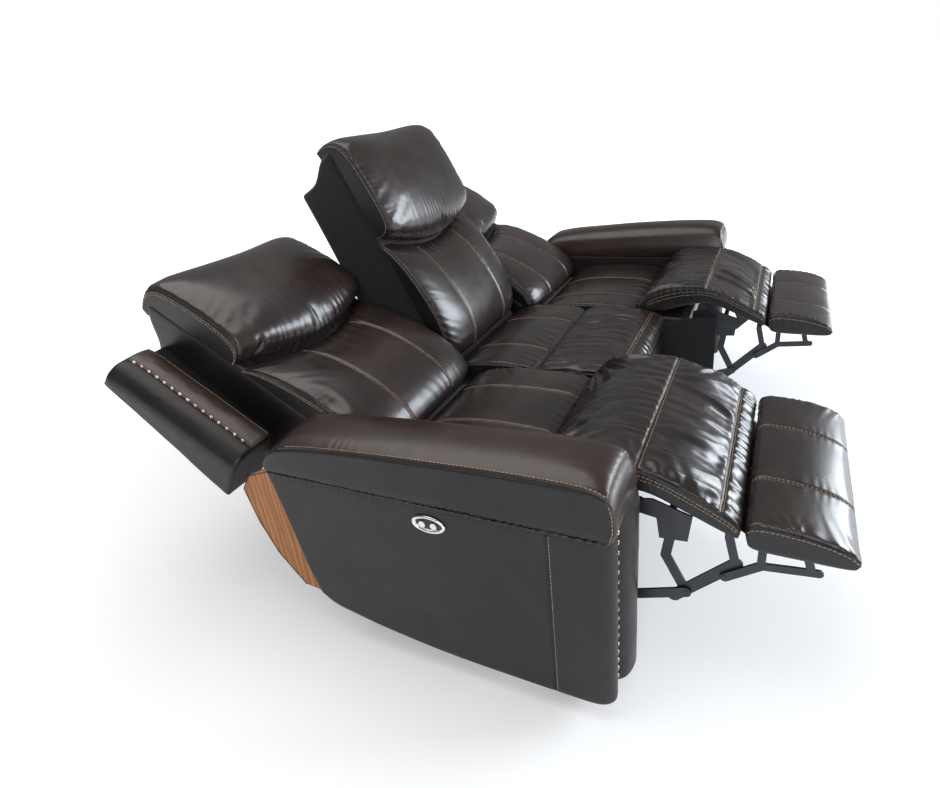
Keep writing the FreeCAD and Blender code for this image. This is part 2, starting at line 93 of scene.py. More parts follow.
def fbm(x, y=0.0, z=0.0, seed=0, octaves=3, gain=0.5):
    out, amp, total = 0.0, 1.0, 0.0
    for o in range(octaves):
        s = 2.03**o
        out = out + amp * noise(
            np.asarray(x) * s + 3.7 * o, np.asarray(y) * s, np.asarray(z) * s, seed + o
        )
        total += amp
        amp *= gain
    return out / total


def smooth(x, a, b):
    t = np.clip((x - a) / (b - a), 0, 1)
    return t * t * (3 - 2 * t)


def folds(t, d, pitch, seed, sharp=1.4, lean=0.0):
    """Folds that run away from a seam: t along it and d away from it, in metres. About -0.35 in a valley to 0.65 on a crest."""
    t = t + lean * d
    wob = 0.85 * noise(t / (pitch * 2.6), d / (pitch * 6), seed=seed)
    wob = wob + 0.35 * noise(t / (pitch * 1.2), d / (pitch * 3.2), seed=seed + 1)
    r = 0.5 + 0.5 * np.cos(2 * math.pi * (t / pitch + wob))
    amp = 0.62 + 0.38 * noise(t / (pitch * 1.9), d / (pitch * 7), seed=seed + 2)
    return (r**sharp - 0.35) * amp


def groove(d, depth, width):
    return -depth * np.exp(-((d / width) ** 2))


# ------------------------------------------------------------------ lines and lattices
class Line:
    """A smooth line through 2-D points, by its own length."""

    def __init__(self, pts, rounds=3):
        p = np.array(pts, float)
        for _ in range(rounds):
            a, b = p[:-1], p[1:]
            q = np.empty((2 * len(a), 2))
            q[0::2] = 0.75 * a + 0.25 * b
            q[1::2] = 0.25 * a + 0.75 * b
            p = np.vstack([p[:1], q, p[-1:]])
        d = np.concatenate([[0], np.cumsum(np.linalg.norm(np.diff(p, axis=0), axis=1))])
        self.p, self.length, self.t = p, d[-1], d / d[-1]

    def __call__(self, u):
        return np.interp(u, self.t, self.p[:, 0]), np.interp(u, self.t, self.p[:, 1])

    def normal(self, u, e=1e-3):
        a0, b0 = self(np.clip(u - e, 0, 1))
        a1, b1 = self(np.clip(u + e, 0, 1))
        ta, tb = a1 - a0, b1 - b0
        n = np.sqrt(ta**2 + tb**2) + 1e-12
        return -tb / n, ta / n

    def at(self, axis, value):
        """The share of the length where the first crossing of that coordinate is."""
        c = self.p[:, axis] - value
        hit = np.nonzero(c[:-1] * c[1:] <= 0)[0]
        i = hit[0]
        f = c[i] / (c[i] - c[i + 1]) if c[i] != c[i + 1] else 0
        return self.t[i] + f * (self.t[i + 1] - self.t[i])


def ticks(length, step, r, near):
    if r <= 0:
        return np.linspace(0, length, max(1, round(length / step)) + 1)
    edge = r * np.arange(near) / near
    mid = np.linspace(r, length - r, max(1, round((length - 2 * r) / step)) + 1)
    return np.concatenate([edge, mid, length - edge[::-1]])


def put_mesh(name, verts, polys, mats, index=None, attributes=None):
    """verts N x 3; polys a list of arrays, each with one number of corners."""
    me = bpy.data.meshes.new(name)
    me.vertices.add(len(verts))
    me.vertices.foreach_set("co", np.asarray(verts, np.float32).ravel())
    polys = [np.asarray(p, np.int32) for p in polys if len(p)]
    loops = np.concatenate([p.ravel() for p in polys])
    sizes = np.concatenate([np.full(len(p), p.shape[1], np.int32) for p in polys])
    me.loops.add(len(loops))
    me.loops.foreach_set("vertex_index", loops)
    me.polygons.add(len(sizes))
    starts = np.concatenate([[0], np.cumsum(sizes)[:-1]]).astype(np.int32)
    me.polygons.foreach_set("loop_start", starts)
    if index is not None:
        me.polygons.foreach_set("material_index", np.asarray(index, np.int32))
    me.polygons.foreach_set("use_smooth", np.ones(len(sizes), bool))
    me.update(calc_edges=True)
    me.validate()
    for k, v in (attributes or {}).items():
        me.attributes.new(k, "FLOAT", "POINT").data.foreach_set(
            "value", np.asarray(v, np.float32)
        )
    for m in mats:
        me.materials.append(m)
    o = bpy.data.objects.new(name, me)
    scene.collection.objects.link(o)
    return o


def slab(name, place, dims, mats, step=0.016, r=0.0, near=2, steps=None, index=None):
    """A closed padded form: the skin of a box of that size with edges rounded to r, sent through place(u, v, w) to its real shape.
    u, v and w run from 0 to 1, and stay on the mesh as pu, pv and pw. index(u, v, w) of a face's middle gives its material."""
    dims = np.array(dims, float)
    steps = steps or (step,) * 3
    ax = [ticks(d, s, r, near) for d, s in zip(dims, steps)]
    n = np.array([len(a) for a in ax])
    grid = np.indices(n).reshape(3, -1).T
    on = ((grid == 0) | (grid == n - 1)).any(1)
    idx = -np.ones(n, np.int64)
    g = grid[on]
    idx[tuple(g.T)] = np.arange(len(g))
    abc = np.stack([ax[k][g[:, k]] for k in range(3)], 1)
    q = abc.copy()
    if r > 0:
        inner = np.clip(abc, r, dims - r)
        d = abc - inner
        length = np.linalg.norm(d, axis=1, keepdims=True)
        q = np.where(length > 1e-9, inner + r * d / np.maximum(length, 1e-9), abc)
    uvw = q / dims
    x, y, z = place(uvw[:, 0], uvw[:, 1], uvw[:, 2])
    pos = np.stack([x + 0 * y, y - YC + 0 * x, z + 0 * x], 1)
    quads = []
    for k in range(3):
        for side in (0, n[k] - 1):
            s = np.moveaxis(idx, k, 0)[side]
            a, b, c, e = s[:-1, :-1], s[1:, :-1], s[1:, 1:], s[:-1, 1:]
            f = np.stack([a, b, c, e], -1).reshape(-1, 4)
            if (side == 0) == (k in (0, 2)):
                f = f[:, ::-1]
            quads.append(f)
    quads = np.concatenate(quads)
    p = pos[quads]
    vol = np.einsum(
        "ij,ij->i", p[:, 0], np.cross(p[:, 1] - p[:, 0], p[:, 2] - p[:, 0])
    ).sum()
    vol += np.einsum(
        "ij,ij->i", p[:, 0], np.cross(p[:, 2] - p[:, 0], p[:, 3] - p[:, 0])
    ).sum()
    if vol < 0:
        quads = quads[:, ::-1]
    par = abc / dims
    mi = None
    if index is not None:
        c = par[quads].mean(1)
        mi = index(c[:, 0], c[:, 1], c[:, 2])
    o = put_mesh(
        name,
        pos,
        [quads],
        mats,
        mi,
        {"pu": par[:, 0], "pv": par[:, 1], "pw": par[:, 2]},
    )
    o["dims"] = dims.tolist()
    return o


def read(me, name):
    a = np.zeros(len(me.vertices), np.float32)
    me.attributes[name].data.foreach_get("value", a)
    return a.astype(float)


def coords(me):
    a = np.zeros(len(me.vertices) * 3, np.float32)
    me.vertices.foreach_get("co", a)
    return a.reshape(-1, 3).astype(float)


def normals(me):
    a = np.zeros(len(me.vertices) * 3, np.float32)
    me.vertices.foreach_get("normal", a)
    return a.reshape(-1, 3).astype(float)


def set_coords(me, co):
    me.vertices.foreach_set("co", np.asarray(co, np.float32).ravel())
    me.update()


# ------------------------------------------------------------------ cloth
waiting = []


def stuff(o, pin, pressure=4.0, cap=0.02, grow=0.0, mass=0.3, stiff=15.0, bend=0.5):
    """Puts a piece down for the cloth pass: it swells between its pinned seams. pin(u, v, w) is 0 to 1."""
    waiting.append((o, pin, pressure, cap, grow, mass, stiff, bend))
    return o


def simulate():
    """Runs every waiting piece's cloth at once, caps how far each point moved, and leaves plain meshes."""
    if not waiting:
        return
    before = {}
    for o, pin, pressure, cap, grow, mass, stiff, bend in waiting:
        me = o.data
        u, v, w = (read(me, k) for k in ("pu", "pv", "pw"))
        hold = np.clip(pin(u, v, w), 0, 1)
        before[o.name] = (coords(me), hold)
        group = o.vertex_groups.new(name="pin")
        for value in np.unique(np.round(hold, 2)):
            if value > 0:
                ids = np.nonzero(np.round(hold, 2) == value)[0].tolist()
                group.add(ids, float(value), "REPLACE")
        c = o.modifiers.new("swell", "CLOTH")
        s = c.settings
        s.quality = 5
        s.mass = mass
        s.tension_stiffness = s.compression_stiffness = stiff
        s.shear_stiffness = stiff * 0.5
        s.bending_stiffness = bend
        s.air_damping = 2.0
        s.use_pressure = True
        s.uniform_pressure_force = pressure
        s.vertex_group_mass = "pin"
        s.shrink_min = -grow
        s.effector_weights.gravity = 0.0
        c.collision_settings.use_collision = False
        c.collision_settings.use_self_collision = False
        c.point_cache.frame_start = 1
        c.point_cache.frame_end = 20
    for f in range(1, 21):
        scene.frame_set(f)
    dg = bpy.context.evaluated_depsgraph_get()
    for o, pin, pressure, cap, grow, *_ in waiting:
        rest, hold = before[o.name]
        e = o.evaluated_get(dg)
        got = coords(e.data)
        d = got - rest
        length = np.linalg.norm(d, axis=1, keepdims=True)
        limit = cap * np.tanh(length / cap)
        set_coords(o.data, rest + d * np.where(length > 1e-9, limit / np.maximum(length, 1e-9), 0))
        o.modifiers.clear()
        o.vertex_groups.clear()
    waiting.clear()
    scene.frame_set(1)


def refine(o, levels):
    """Divides the mesh smoothly and keeps the result as the piece's own mesh."""
    if levels:
        m = o.modifiers.new("fine", "SUBSURF")
        m.levels = m.render_levels = levels
        m.uv_smooth = "NONE"
        dg = bpy.context.evaluated_depsgraph_get()
        me = bpy.data.meshes.new_from_object(
            o.evaluated_get(dg), preserve_all_data_layers=True, depsgraph=dg
        )
        o.modifiers.clear()
        old = o.data
        o.data = me
        bpy.data.meshes.remove(old)
    return o


def sculpt(o, shape):
    """shape(P) gives how far each point moves along its normal. It also gives a 0 to 1 mask of painted shade in seams,
    grooves and creases, which makes the leather duller there too.
    """
    me = o.data
    P = {
        "u": read(me, "pu"),
        "v": read(me, "pv"),
        "w": read(me, "pw"),
        "co": coords(me),
        "n": normals(me),
    }
    c = P["co"]
    P["x"], P["y"], P["z"] = c[:, 0], c[:, 1] + YC, c[:, 2]
    P["top"] = (P["w"] > 0.9999).astype(float)
    out = shape(P)
    move, seam_shade = out if isinstance(out, tuple) else (out, None)
    set_coords(me, c + P["n"] * np.asarray(move)[:, None])
    if seam_shade is None:
        seam_shade = np.zeros(len(c))
    # painted shade: this per-point mask darkens the leather's colour in seams, grooves and creases
    a = me.attributes.get("seam_shade") or me.attributes.new("seam_shade", "FLOAT", "POINT")
    a.data.foreach_set("value", np.clip(seam_shade, 0, 1).astype(np.float32))
    return o


class Side:
    """One face of a slab as a regular grid, to place stitches and nails on."""

    def __init__(self, o, axis=2, end=1.0):
        me = o.data
        par = np.stack([read(me, k) for k in ("pu", "pv", "pw")], 1)
        co, no = coords(me), normals(me)
        i, j = [k for k in range(3) if k != axis]
        on = np.abs(par[:, axis] - end) < 2e-4
        a, b = np.round(par[on][:, i], 4), np.round(par[on][:, j], 4)
        self.a, ia = np.unique(a, return_inverse=True)
        self.b, ib = np.unique(b, return_inverse=True)
        self.co = np.full((len(self.a), len(self.b), 3), np.nan)
        self.no = self.co.copy()
        self.co[ia, ib], self.no[ia, ib] = co[on], no[on]
        if np.isnan(self.co).any():
            raise RuntimeError(o.name + ": its face is not a regular grid")

    def __call__(self, a, b):
        fa = np.interp(a, self.a, np.arange(len(self.a)))
        fb = np.interp(b, self.b, np.arange(len(self.b)))
        ia = np.clip(fa.astype(int), 0, len(self.a) - 2)
        ib = np.clip(fb.astype(int), 0, len(self.b) - 2)
        wa, wb = (fa - ia)[:, None], (fb - ib)[:, None]

        def mix(g):
            return (
                g[ia, ib] * (1 - wa) * (1 - wb)
                + g[ia + 1, ib] * wa * (1 - wb)
                + g[ia, ib + 1] * (1 - wa) * wb
                + g[ia + 1, ib + 1] * wa * wb
            )

        n = mix(self.no)
        return mix(self.co), n / np.linalg.norm(n, axis=1, keepdims=True)


# ------------------------------------------------------------------ small repeated pieces
def ring_template(stations, seg):
    """Rings along x: (x, radius) each, closed with end caps."""
    v, quads = [], []
    for x, rad in stations:
        for k in range(seg):
            t = 2 * math.pi * k / seg
            v.append((x, rad * math.cos(t), rad * math.sin(t)))
    for i in range(len(stations) - 1):
        for k in range(seg):
            a, b = i * seg + k, i * seg + (k + 1) % seg
            quads.append((a, b, b + seg, a + seg))
    last = (len(stations) - 1) * seg
    caps = [tuple(range(seg))[::-1], tuple(range(last, last + seg))]
    v = np.array(v)
    quads = np.array(quads)[:, ::-1]
    return v, [quads, np.array([c[::-1] for c in caps])]


def stamp(name, template, origin, t, n, mats, scale=None):
    """Copies of a template, its x along t and its z along n."""
    tv, tp = template
    t = t / np.linalg.norm(t, axis=1, keepdims=True)
    b = np.cross(n, t)
    b = b / np.linalg.norm(b, axis=1, keepdims=True)
    n = np.cross(t, b)
    s = np.ones((len(origin), 3)) if scale is None else scale
    v = (
        origin[:, None]
        + (tv[None, :, 0] * s[:, :1])[..., None] * t[:, None]
        + (tv[None, :, 1] * s[:, 1:2])[..., None] * b[:, None]
        + (tv[None, :, 2] * s[:, 2:3])[..., None] * n[:, None]
    )
    off = (np.arange(len(origin)) * len(tv))[:, None, None]
    polys = [(p[None] + off).reshape(-1, p.shape[1]) for p in tp]
    return v.reshape(-1, 3), polys


STITCH = ring_template(
    [(-0.0034, 0.0002), (-0.0029, 0.00062), (0.0, 0.0008), (0.0029, 0.00062), (0.0034, 0.0002)], 6
)


def dome_template(r, h, seg=14):
    prof = [
        (r * 0.86, -0.0035),
        (r * 0.98, -0.0012),
        (r, 0.0004),
        (r * 0.94, h * 0.38),
        (r * 0.78, h * 0.70),
        (r * 0.52, h * 0.91),
        (r * 0.22, h * 0.99),
    ]
    v, quads = [], []
    for rad, z in prof:
        for k in range(seg):
            a = 2 * math.pi * k / seg
            v.append((rad * math.cos(a), rad * math.sin(a), z))
    for i in range(len(prof) - 1):
        for k in range(seg):
            a, b = i * seg + k, i * seg + (k + 1) % seg
            quads.append((a, b, b + seg, a + seg))
    last = (len(prof) - 1) * seg
    caps = [tuple(range(seg))[::-1], tuple(range(last, last + seg))]
    return np.array(v), [np.array(quads), np.array(caps)]


class Batch:
    """Gathers many small copies into one piece."""

    def __init__(self):
        self.v, self.p, self.n = [], {}, 0

    def add(self, verts, polys):
        for p in polys:
            self.p.setdefault(p.shape[1], []).append(p + self.n)
        self.v.append(verts)
        self.n += len(verts)

    def build(self, name, mats):
        return put_mesh(
            name, np.concatenate(self.v), [np.concatenate(p) for p in self.p.values()], mats
        )


def stitch_run(batch, pts, nrm, pitch=0.0088, sink=0.0002, seed=1):
    """Stitches along a line of surface points."""
    d = np.concatenate([[0], np.cumsum(np.linalg.norm(np.diff(pts, axis=0), axis=1))])
    count = max(2, int(d[-1] / pitch))
    s = (np.arange(count) + 0.5) * d[-1] / count
    at = np.stack([np.interp(s, d, pts[:, k]) for k in range(3)], 1)
    ahead = np.stack([np.interp(s + 0.002, d, pts[:, k]) for k in range(3)], 1)
    back = np.stack([np.interp(s - 0.002, d, pts[:, k]) for k in range(3)], 1)
    n = np.stack([np.interp(s, d, nrm[:, k]) for k in range(3)], 1)
    n = n / np.linalg.norm(n, axis=1, keepdims=True)
    t = ahead - back
    skew = 0.05 * noise(s * 157.0, seed=seed)
    t = t + np.cross(n, t) * skew[:, None]
    k = np.random.default_rng(seed).normal(0, 1, (count, 3))
    scale = 1 + np.clip(k, -2, 2) * np.array([0.05, 0.06, 0.06])
    v, p = stamp("", STITCH, at + n * (0.0004 - sink), t, n, [], scale)
    batch.add(v, p)


def seam_stitches(batch, side, a, b, gap=0.0, pitch=0.0088, seed=1):
    """Stitches on a slab's face along parameters a, b; gap in metres to the side, for the rows of a double seam."""
    pts, nrm = side(a, b)
    keep = np.concatenate([[True], np.linalg.norm(np.diff(pts, axis=0), axis=1) > 1e-6])
    pts, nrm = pts[keep], nrm[keep]
    if gap:
        t = np.gradient(pts, axis=0)
        t = t / np.linalg.norm(t, axis=1, keepdims=True)
        moved = pts + np.cross(nrm, t) * gap
        # back onto the face: the height along the normal comes from the nearest point of a fine copy of the face
        fa, fb = len(side.a), len(side.b)
        flat = side.co.reshape(-1, 3)
        nf = side.no.reshape(-1, 3)
        kd = side.__dict__.get("kd")
        if kd is None:
            from mathutils.kdtree import KDTree

            kd = KDTree(len(flat))
            for i, c in enumerate(flat):
                kd.insert(c, i)
            kd.balance()
            side.kd = kd
        near = np.array([[q[1] for q in kd.find_n(Vector(m), 3)] for m in moved])
        w = 1 / (np.linalg.norm(flat[near] - moved[:, None], axis=2) + 1e-5)
        w = w / w.sum(1, keepdims=True)
        base = (flat[near] * w[..., None]).sum(1)
        nn = (nf[near] * w[..., None]).sum(1)
        nn = nn / np.linalg.norm(nn, axis=1, keepdims=True)
        moved = moved + nn * np.einsum("ij,ij->i", base - moved, nn)[:, None]
        pts, nrm = moved, nn
    stitch_run(batch, pts, nrm, pitch, seed=seed)


# ------------------------------------------------------------------ finishes
def link(nt, a, b):
    nt.links.new(a, b)


def new_material(name, rough, spec=0.5, metallic=0.0, coat=0.0, coat_rough=0.2):
    m = bpy.data.materials.new(name)
    m.use_nodes = True
    nt = m.node_tree
    nt.nodes.clear()
    out = nt.nodes.new("ShaderNodeOutputMaterial")
    b = nt.nodes.new("ShaderNodeBsdfPrincipled")
    link(nt, b.outputs[0], out.inputs[0])
    b.inputs["Roughness"].default_value = rough
    b.inputs["Metallic"].default_value = metallic
    b.inputs["Specular IOR Level"].default_value = spec
    b.inputs["Coat Weight"].default_value = coat
    b.inputs["Coat Roughness"].default_value = coat_rough
    tc = nt.nodes.new("ShaderNodeTexCoord")
    return m, nt, b, tc


def tex_noise(nt, tc, scale, detail=3.0, rough=0.55, stretch=None):
    n = nt.nodes.new("ShaderNodeTexNoise")
    n.inputs["Scale"].default_value = scale
    n.inputs["Detail"].default_value = detail
    n.inputs["Roughness"].default_value = rough
    src = tc.outputs["Object"]
    if stretch:
        mp = nt.nodes.new("ShaderNodeMapping")
        mp.inputs["Scale"].default_value = stretch
        link(nt, src, mp.inputs[0])
        src = mp.outputs[0]
    link(nt, src, n.inputs["Vector"])
    return n


def ramp(nt, src, stops):
    r = nt.nodes.new("ShaderNodeValToRGB")
    e = r.color_ramp.elements
    while len(e) < len(stops):
        e.new(0.5)
    for k, (p, c) in enumerate(stops):
        e[k].position = p
        e[k].color = (*c, 1.0)
    link(nt, src, r.inputs[0])
    return r


def remap(nt, src, a, b, c, d):
    m = nt.nodes.new("ShaderNodeMapRange")
    for k, v in zip((1, 2, 3, 4), (a, b, c, d)):
        m.inputs[k].default_value = v
    link(nt, src, m.inputs[0])
    return m


def add_bump(nt, b, src, strength, distance, under=None):
    n = nt.nodes.new("ShaderNodeBump")
    n.inputs["Strength"].default_value = strength
    n.inputs["Distance"].default_value = distance
    link(nt, src, n.inputs["Height"])
    if under is not None:
        link(nt, under.outputs[0], n.inputs["Normal"])
    link(nt, n.outputs[0], b.inputs["Normal"])
    return n


def leather(name, dark, mid, warm, rough, spread=0.06, coat=0.2, grain=0.12, spec=0.5):
    m, nt, b, tc = new_material(name, rough, spec=spec, coat=coat, coat_rough=0.16)
    big = tex_noise(nt, tc, 5.0, 3.0, 0.6)
    fine = tex_noise(nt, tc, 95.0, 3.0, 0.6)
    r = ramp(nt, big.outputs[0], [(0.32, dark), (0.52, mid), (0.72, warm)])
    speck = ramp(nt, fine.outputs[0], [(0.3, (0.86, 0.86, 0.88)), (0.7, (1.12, 1.08, 1.04))])
    mul = nt.nodes.new("ShaderNodeMix")
    mul.data_type, mul.blend_type = "RGBA", "MULTIPLY"
    mul.inputs[0].default_value = 1.0
    link(nt, r.outputs[0], mul.inputs[6])
    link(nt, speck.outputs[0], mul.inputs[7])
    # painted shade: the per-point mask written by sculpt darkens the colour to about an eighth in seams, grooves and
    # creases; it also raises the roughness there
    at = nt.nodes.new("ShaderNodeAttribute")
    at.attribute_name = "seam_shade"
    fade = ramp(nt, at.outputs["Fac"], [(0.0, (1, 1, 1)), (0.6, (0.35, 0.33, 0.34)), (1.0, (0.12, 0.12, 0.13))])
    mul2 = nt.nodes.new("ShaderNodeMix")
    mul2.data_type, mul2.blend_type = "RGBA", "MULTIPLY"
    mul2.inputs[0].default_value = 1.0
    link(nt, mul.outputs[2], mul2.inputs[6])
    link(nt, fade.outputs[0], mul2.inputs[7])
    link(nt, mul2.outputs[2], b.inputs["Base Color"])
    rr = remap(nt, tex_noise(nt, tc, 14.0, 4.0, 0.65).outputs[0], 0.3, 0.7, rough - spread, rough + spread)
    add = nt.nodes.new("ShaderNodeMath")
    add.operation = "MULTIPLY_ADD"
    link(nt, at.outputs["Fac"], add.inputs[0])
    add.inputs[1].default_value = 0.25
    link(nt, rr.outputs[0], add.inputs[2])
    link(nt, add.outputs[0], b.inputs["Roughness"])
    cells = nt.nodes.new("ShaderNodeTexVoronoi")
    cells.feature = "SMOOTH_F1"
    cells.inputs["Scale"].default_value = 620.0
    link(nt, tc.outputs["Object"], cells.inputs["Vector"])
    soft = tex_noise(nt, tc, 190.0, 4.0, 0.6)
    first = add_bump(nt, b, soft.outputs[0], grain, 0.0009)
    add_bump(nt, b, cells.outputs[0], grain * 0.8, 0.0004, first)
    return m


M = {}
M["leather"] = leather("leather_top", (0.0115, 0.0075, 0.0070), (0.0175, 0.0108, 0.0095), (0.029, 0.0175, 0.0135), 0.315, coat=0.12)
M["leather_pad"] = leather("leather_soft", (0.0105, 0.0070, 0.0066), (0.0155, 0.0098, 0.0088), (0.024, 0.0148, 0.012), 0.31, coat=0.12)
M["leather_arm"] = leather("leather_arm", (0.019, 0.0105, 0.0080), (0.027, 0.0150, 0.0110), (0.038, 0.0215, 0.0150), 0.34, coat=0.10)
M["leather_side"] = leather("leather_side", (0.0064, 0.0051, 0.0050), (0.0088, 0.0069, 0.0066), (0.0122, 0.0098, 0.0090), 0.42, coat=0.03, grain=0.2, spec=0.34)
M["boxing"] = leather("leather_boxing", (0.0045, 0.0040, 0.0048), (0.0062, 0.0054, 0.0060), (0.0090, 0.0076, 0.0078), 0.40, coat=0.05, spec=0.4)


def cloth_black(name, base, scale, rough=0.9, sheen=0.25):
    m, nt, b, tc = new_material(name, rough, spec=0.2)
    b.inputs["Sheen Weight"].default_value = sheen
    b.inputs["Sheen Roughness"].default_value = 0.5
    w1 = nt.nodes.new("ShaderNodeTexWave")
    w2 = nt.nodes.new("ShaderNodeTexWave")
    w1.bands_direction, w2.bands_direction = "Z", "DIAGONAL"
    for w in (w1, w2):
        w.inputs["Scale"].default_value = scale
        w.inputs["Distortion"].default_value = 0.6
        w.inputs["Detail"].default_value = 1.0
        link(nt, tc.outputs["Object"], w.inputs["Vector"])
    mx = nt.nodes.new("ShaderNodeMath")
    mx.operation = "MULTIPLY"
    link(nt, w1.outputs["Fac"], mx.inputs[0])
    link(nt, w2.outputs["Fac"], mx.inputs[1])
    lint = tex_noise(nt, tc, 60.0, 4.0, 0.7)
    c = ramp(nt, lint.outputs[0], [(0.3, tuple(x * 0.7 for x in base)), (0.7, tuple(x * 1.5 for x in base))])
    link(nt, c.outputs[0], b.inputs["Base Color"])
    first = add_bump(nt, b, lint.outputs[0], 0.3, 0.001)
    add_bump(nt, b, mx.outputs[0], 0.5, 0.0006, first)
    return m


M["fabric_black"] = cloth_black("fabric_black", (0.006, 0.006, 0.0075), 240.0)

m, nt, b, tc = new_material("thread_tan", 0.55, spec=0.35)
c = ramp(nt, tex_noise(nt, tc, 130.0, 2.0).outputs[0], [(0.3, (0.27, 0.180, 0.110)), (0.7, (0.46, 0.33, 0.215))])
link(nt, c.outputs[0], b.inputs["Base Color"])
twist = nt.nodes.new("ShaderNodeTexWave")
twist.inputs["Scale"].default_value = 420.0
link(nt, tc.outputs["Object"], twist.inputs["Vector"])
add_bump(nt, b, twist.outputs["Fac"], 0.4, 0.0004)
M["thread"] = m

m, nt, b, tc = new_material("nail_bronze", 0.24, metallic=1.0)
c = ramp(nt, tex_noise(nt, tc, 55.0, 3.0).outputs[0], [(0.3, (0.30, 0.17, 0.15)), (0.55, (0.52, 0.34, 0.30)), (0.75, (0.66, 0.46, 0.40))])
link(nt, c.outputs[0], b.inputs["Base Color"])
rr = remap(nt, tex_noise(nt, tc, 240.0, 2.0).outputs[0], 0.3, 0.7, 0.16, 0.36)
link(nt, rr.outputs[0], b.inputs["Roughness"])
add_bump(nt, b, tex_noise(nt, tc, 320.0, 2.0).outputs[0], 0.15, 0.0004)
M["bronze"] = m

m, nt, b, tc = new_material("bright_nickel", 0.18, metallic=1.0)
c = ramp(nt, tex_noise(nt, tc, 30.0, 3.0).outputs[0], [(0.3, (0.62, 0.62, 0.60)), (0.7, (0.80, 0.80, 0.78))])
link(nt, c.outputs[0], b.inputs["Base Color"])
rr = remap(nt, tex_noise(nt, tc, 180.0, 3.0).outputs[0], 0.3, 0.7, 0.10, 0.28)
link(nt, rr.outputs[0], b.inputs["Roughness"])
M["nickel"] = m

m, nt, b, tc = new_material("painted_steel", 0.42, spec=0.5, coat=0.1, coat_rough=0.3)
c = ramp(nt, tex_noise(nt, tc, 26.0, 5.0, 0.65).outputs[0], [(0.3, (0.006, 0.0075, 0.012)), (0.62, (0.011, 0.013, 0.020)), (0.8, (0.024, 0.026, 0.032))])
link(nt, c.outputs[0], b.inputs["Base Color"])
rr = remap(nt, tex_noise(nt, tc, 40.0, 4.0).outputs[0], 0.3, 0.7, 0.32, 0.55)
link(nt, rr.outputs[0], b.inputs["Roughness"])
add_bump(nt, b, tex_noise(nt, tc, 380.0, 3.0).outputs[0], 0.12, 0.0005)
M["steel_black"] = m

m, nt, b, tc = new_material("black_plastic", 0.35, spec=0.5)
c = ramp(nt, tex_noise(nt, tc, 90.0, 3.0).outputs[0], [(0.3, (0.006, 0.006, 0.007)), (0.7, (0.012, 0.012, 0.013))])
link(nt, c.outputs[0], b.inputs["Base Color"])
rr = remap(nt, tex_noise(nt, tc, 300.0, 2.0).outputs[0], 0.3, 0.7, 0.28, 0.46)
link(nt, rr.outputs[0], b.inputs["Roughness"])
add_bump(nt, b, tex_noise(nt, tc, 700.0, 2.0).outputs[0], 0.15, 0.0003)
M["plastic_black"] = m

m, nt, b, tc = new_material("wire_cream", 0.5, spec=0.4)
c = ramp(nt, tex_noise(nt, tc, 22.0, 3.0).outputs[0], [(0.35, (0.36, 0.38, 0.22)), (0.5, (0.55, 0.50, 0.33)), (0.65, (0.20, 0.34, 0.24))])
link(nt, c.outputs[0], b.inputs["Base Color"])
add_bump(nt, b, tex_noise(nt, tc, 500.0, 2.0).outputs[0], 0.2, 0.0003)
M["wire"] = m

m, nt, b, tc = new_material("plywood", 0.55, spec=0.3)
w = nt.nodes.new("ShaderNodeTexWave")
w.wave_type, w.bands_direction = "BANDS", "Y"
w.inputs["Scale"].default_value = 9.0
w.inputs["Distortion"].default_value = 7.0
w.inputs["Detail"].default_value = 4.0
w.inputs["Detail Scale"].default_value = 1.4
mp = nt.nodes.new("ShaderNodeMapping")
mp.inputs["Scale"].default_value = (1.0, 2.2, 0.35)
link(nt, tc.outputs["Object"], mp.inputs[0])
link(nt, mp.outputs[0], w.inputs["Vector"])
streak = tex_noise(nt, tc, 40.0, 5.0, 0.7, stretch=(1.0, 3.0, 0.12))
c1 = ramp(nt, w.outputs["Fac"], [(0.1, (0.27, 0.115, 0.036)), (0.5, (0.34, 0.148, 0.050)), (0.9, (0.40, 0.180, 0.066))])
c2 = ramp(nt, streak.outputs[0], [(0.3, (0.62, 0.55, 0.5)), (0.65, (1.1, 1.06, 1.0))])
mul = nt.nodes.new("ShaderNodeMix")
mul.data_type, mul.blend_type = "RGBA", "MULTIPLY"
mul.inputs[0].default_value = 1.0
link(nt, c1.outputs[0], mul.inputs[6])
link(nt, c2.outputs[0], mul.inputs[7])
link(nt, mul.outputs[2], b.inputs["Base Color"])
add_bump(nt, b, streak.outputs[0], 0.35, 0.0008)
M["wood"] = m
M["wood_dark"] = cloth_black("frame_lining", (0.010, 0.009, 0.009), 180.0)

# painted light: the pale floor glows, weakly within 1.3 m of the middle and almost fully past 3.4 m, so it fades into
# the white background
m, nt, b, tc = new_material("floor_pale", 0.75, spec=0.1)
c = ramp(nt, tex_noise(nt, tc, 0.6, 3.0).outputs[0], [(0.3, (0.86, 0.865, 0.87)), (0.7, (0.88, 0.885, 0.89))])
link(nt, c.outputs[0], b.inputs["Base Color"])
b.inputs["Emission Color"].default_value = (1.0, 1.0, 1.0, 1.0)
far = nt.nodes.new("ShaderNodeVectorMath")
far.operation = "LENGTH"
link(nt, tc.outputs["Object"], far.inputs[0])
glow = remap(nt, far.outputs["Value"], 1.3, 3.4, 0.20, 0.95)
glow.interpolation_type = "SMOOTHSTEP"
link(nt, glow.outputs[0], b.inputs["Emission Strength"])
M["floor"] = m

for o in NODES.values():
    for s in o.material_slots:
        key = (s.material.name if s.material else "").split(".")[0]
        if key in M:
            s.material = M[key]
        else:
            print("FINISH?", o.name, key)


# ------------------------------------------------------------------ camera, lights, floor
def aim(o, at):
    d = Vector(at) - o.location
    o.rotation_mode = "QUATERNION"
    o.rotation_quaternion = d.to_track_quat("-Z", "Y")


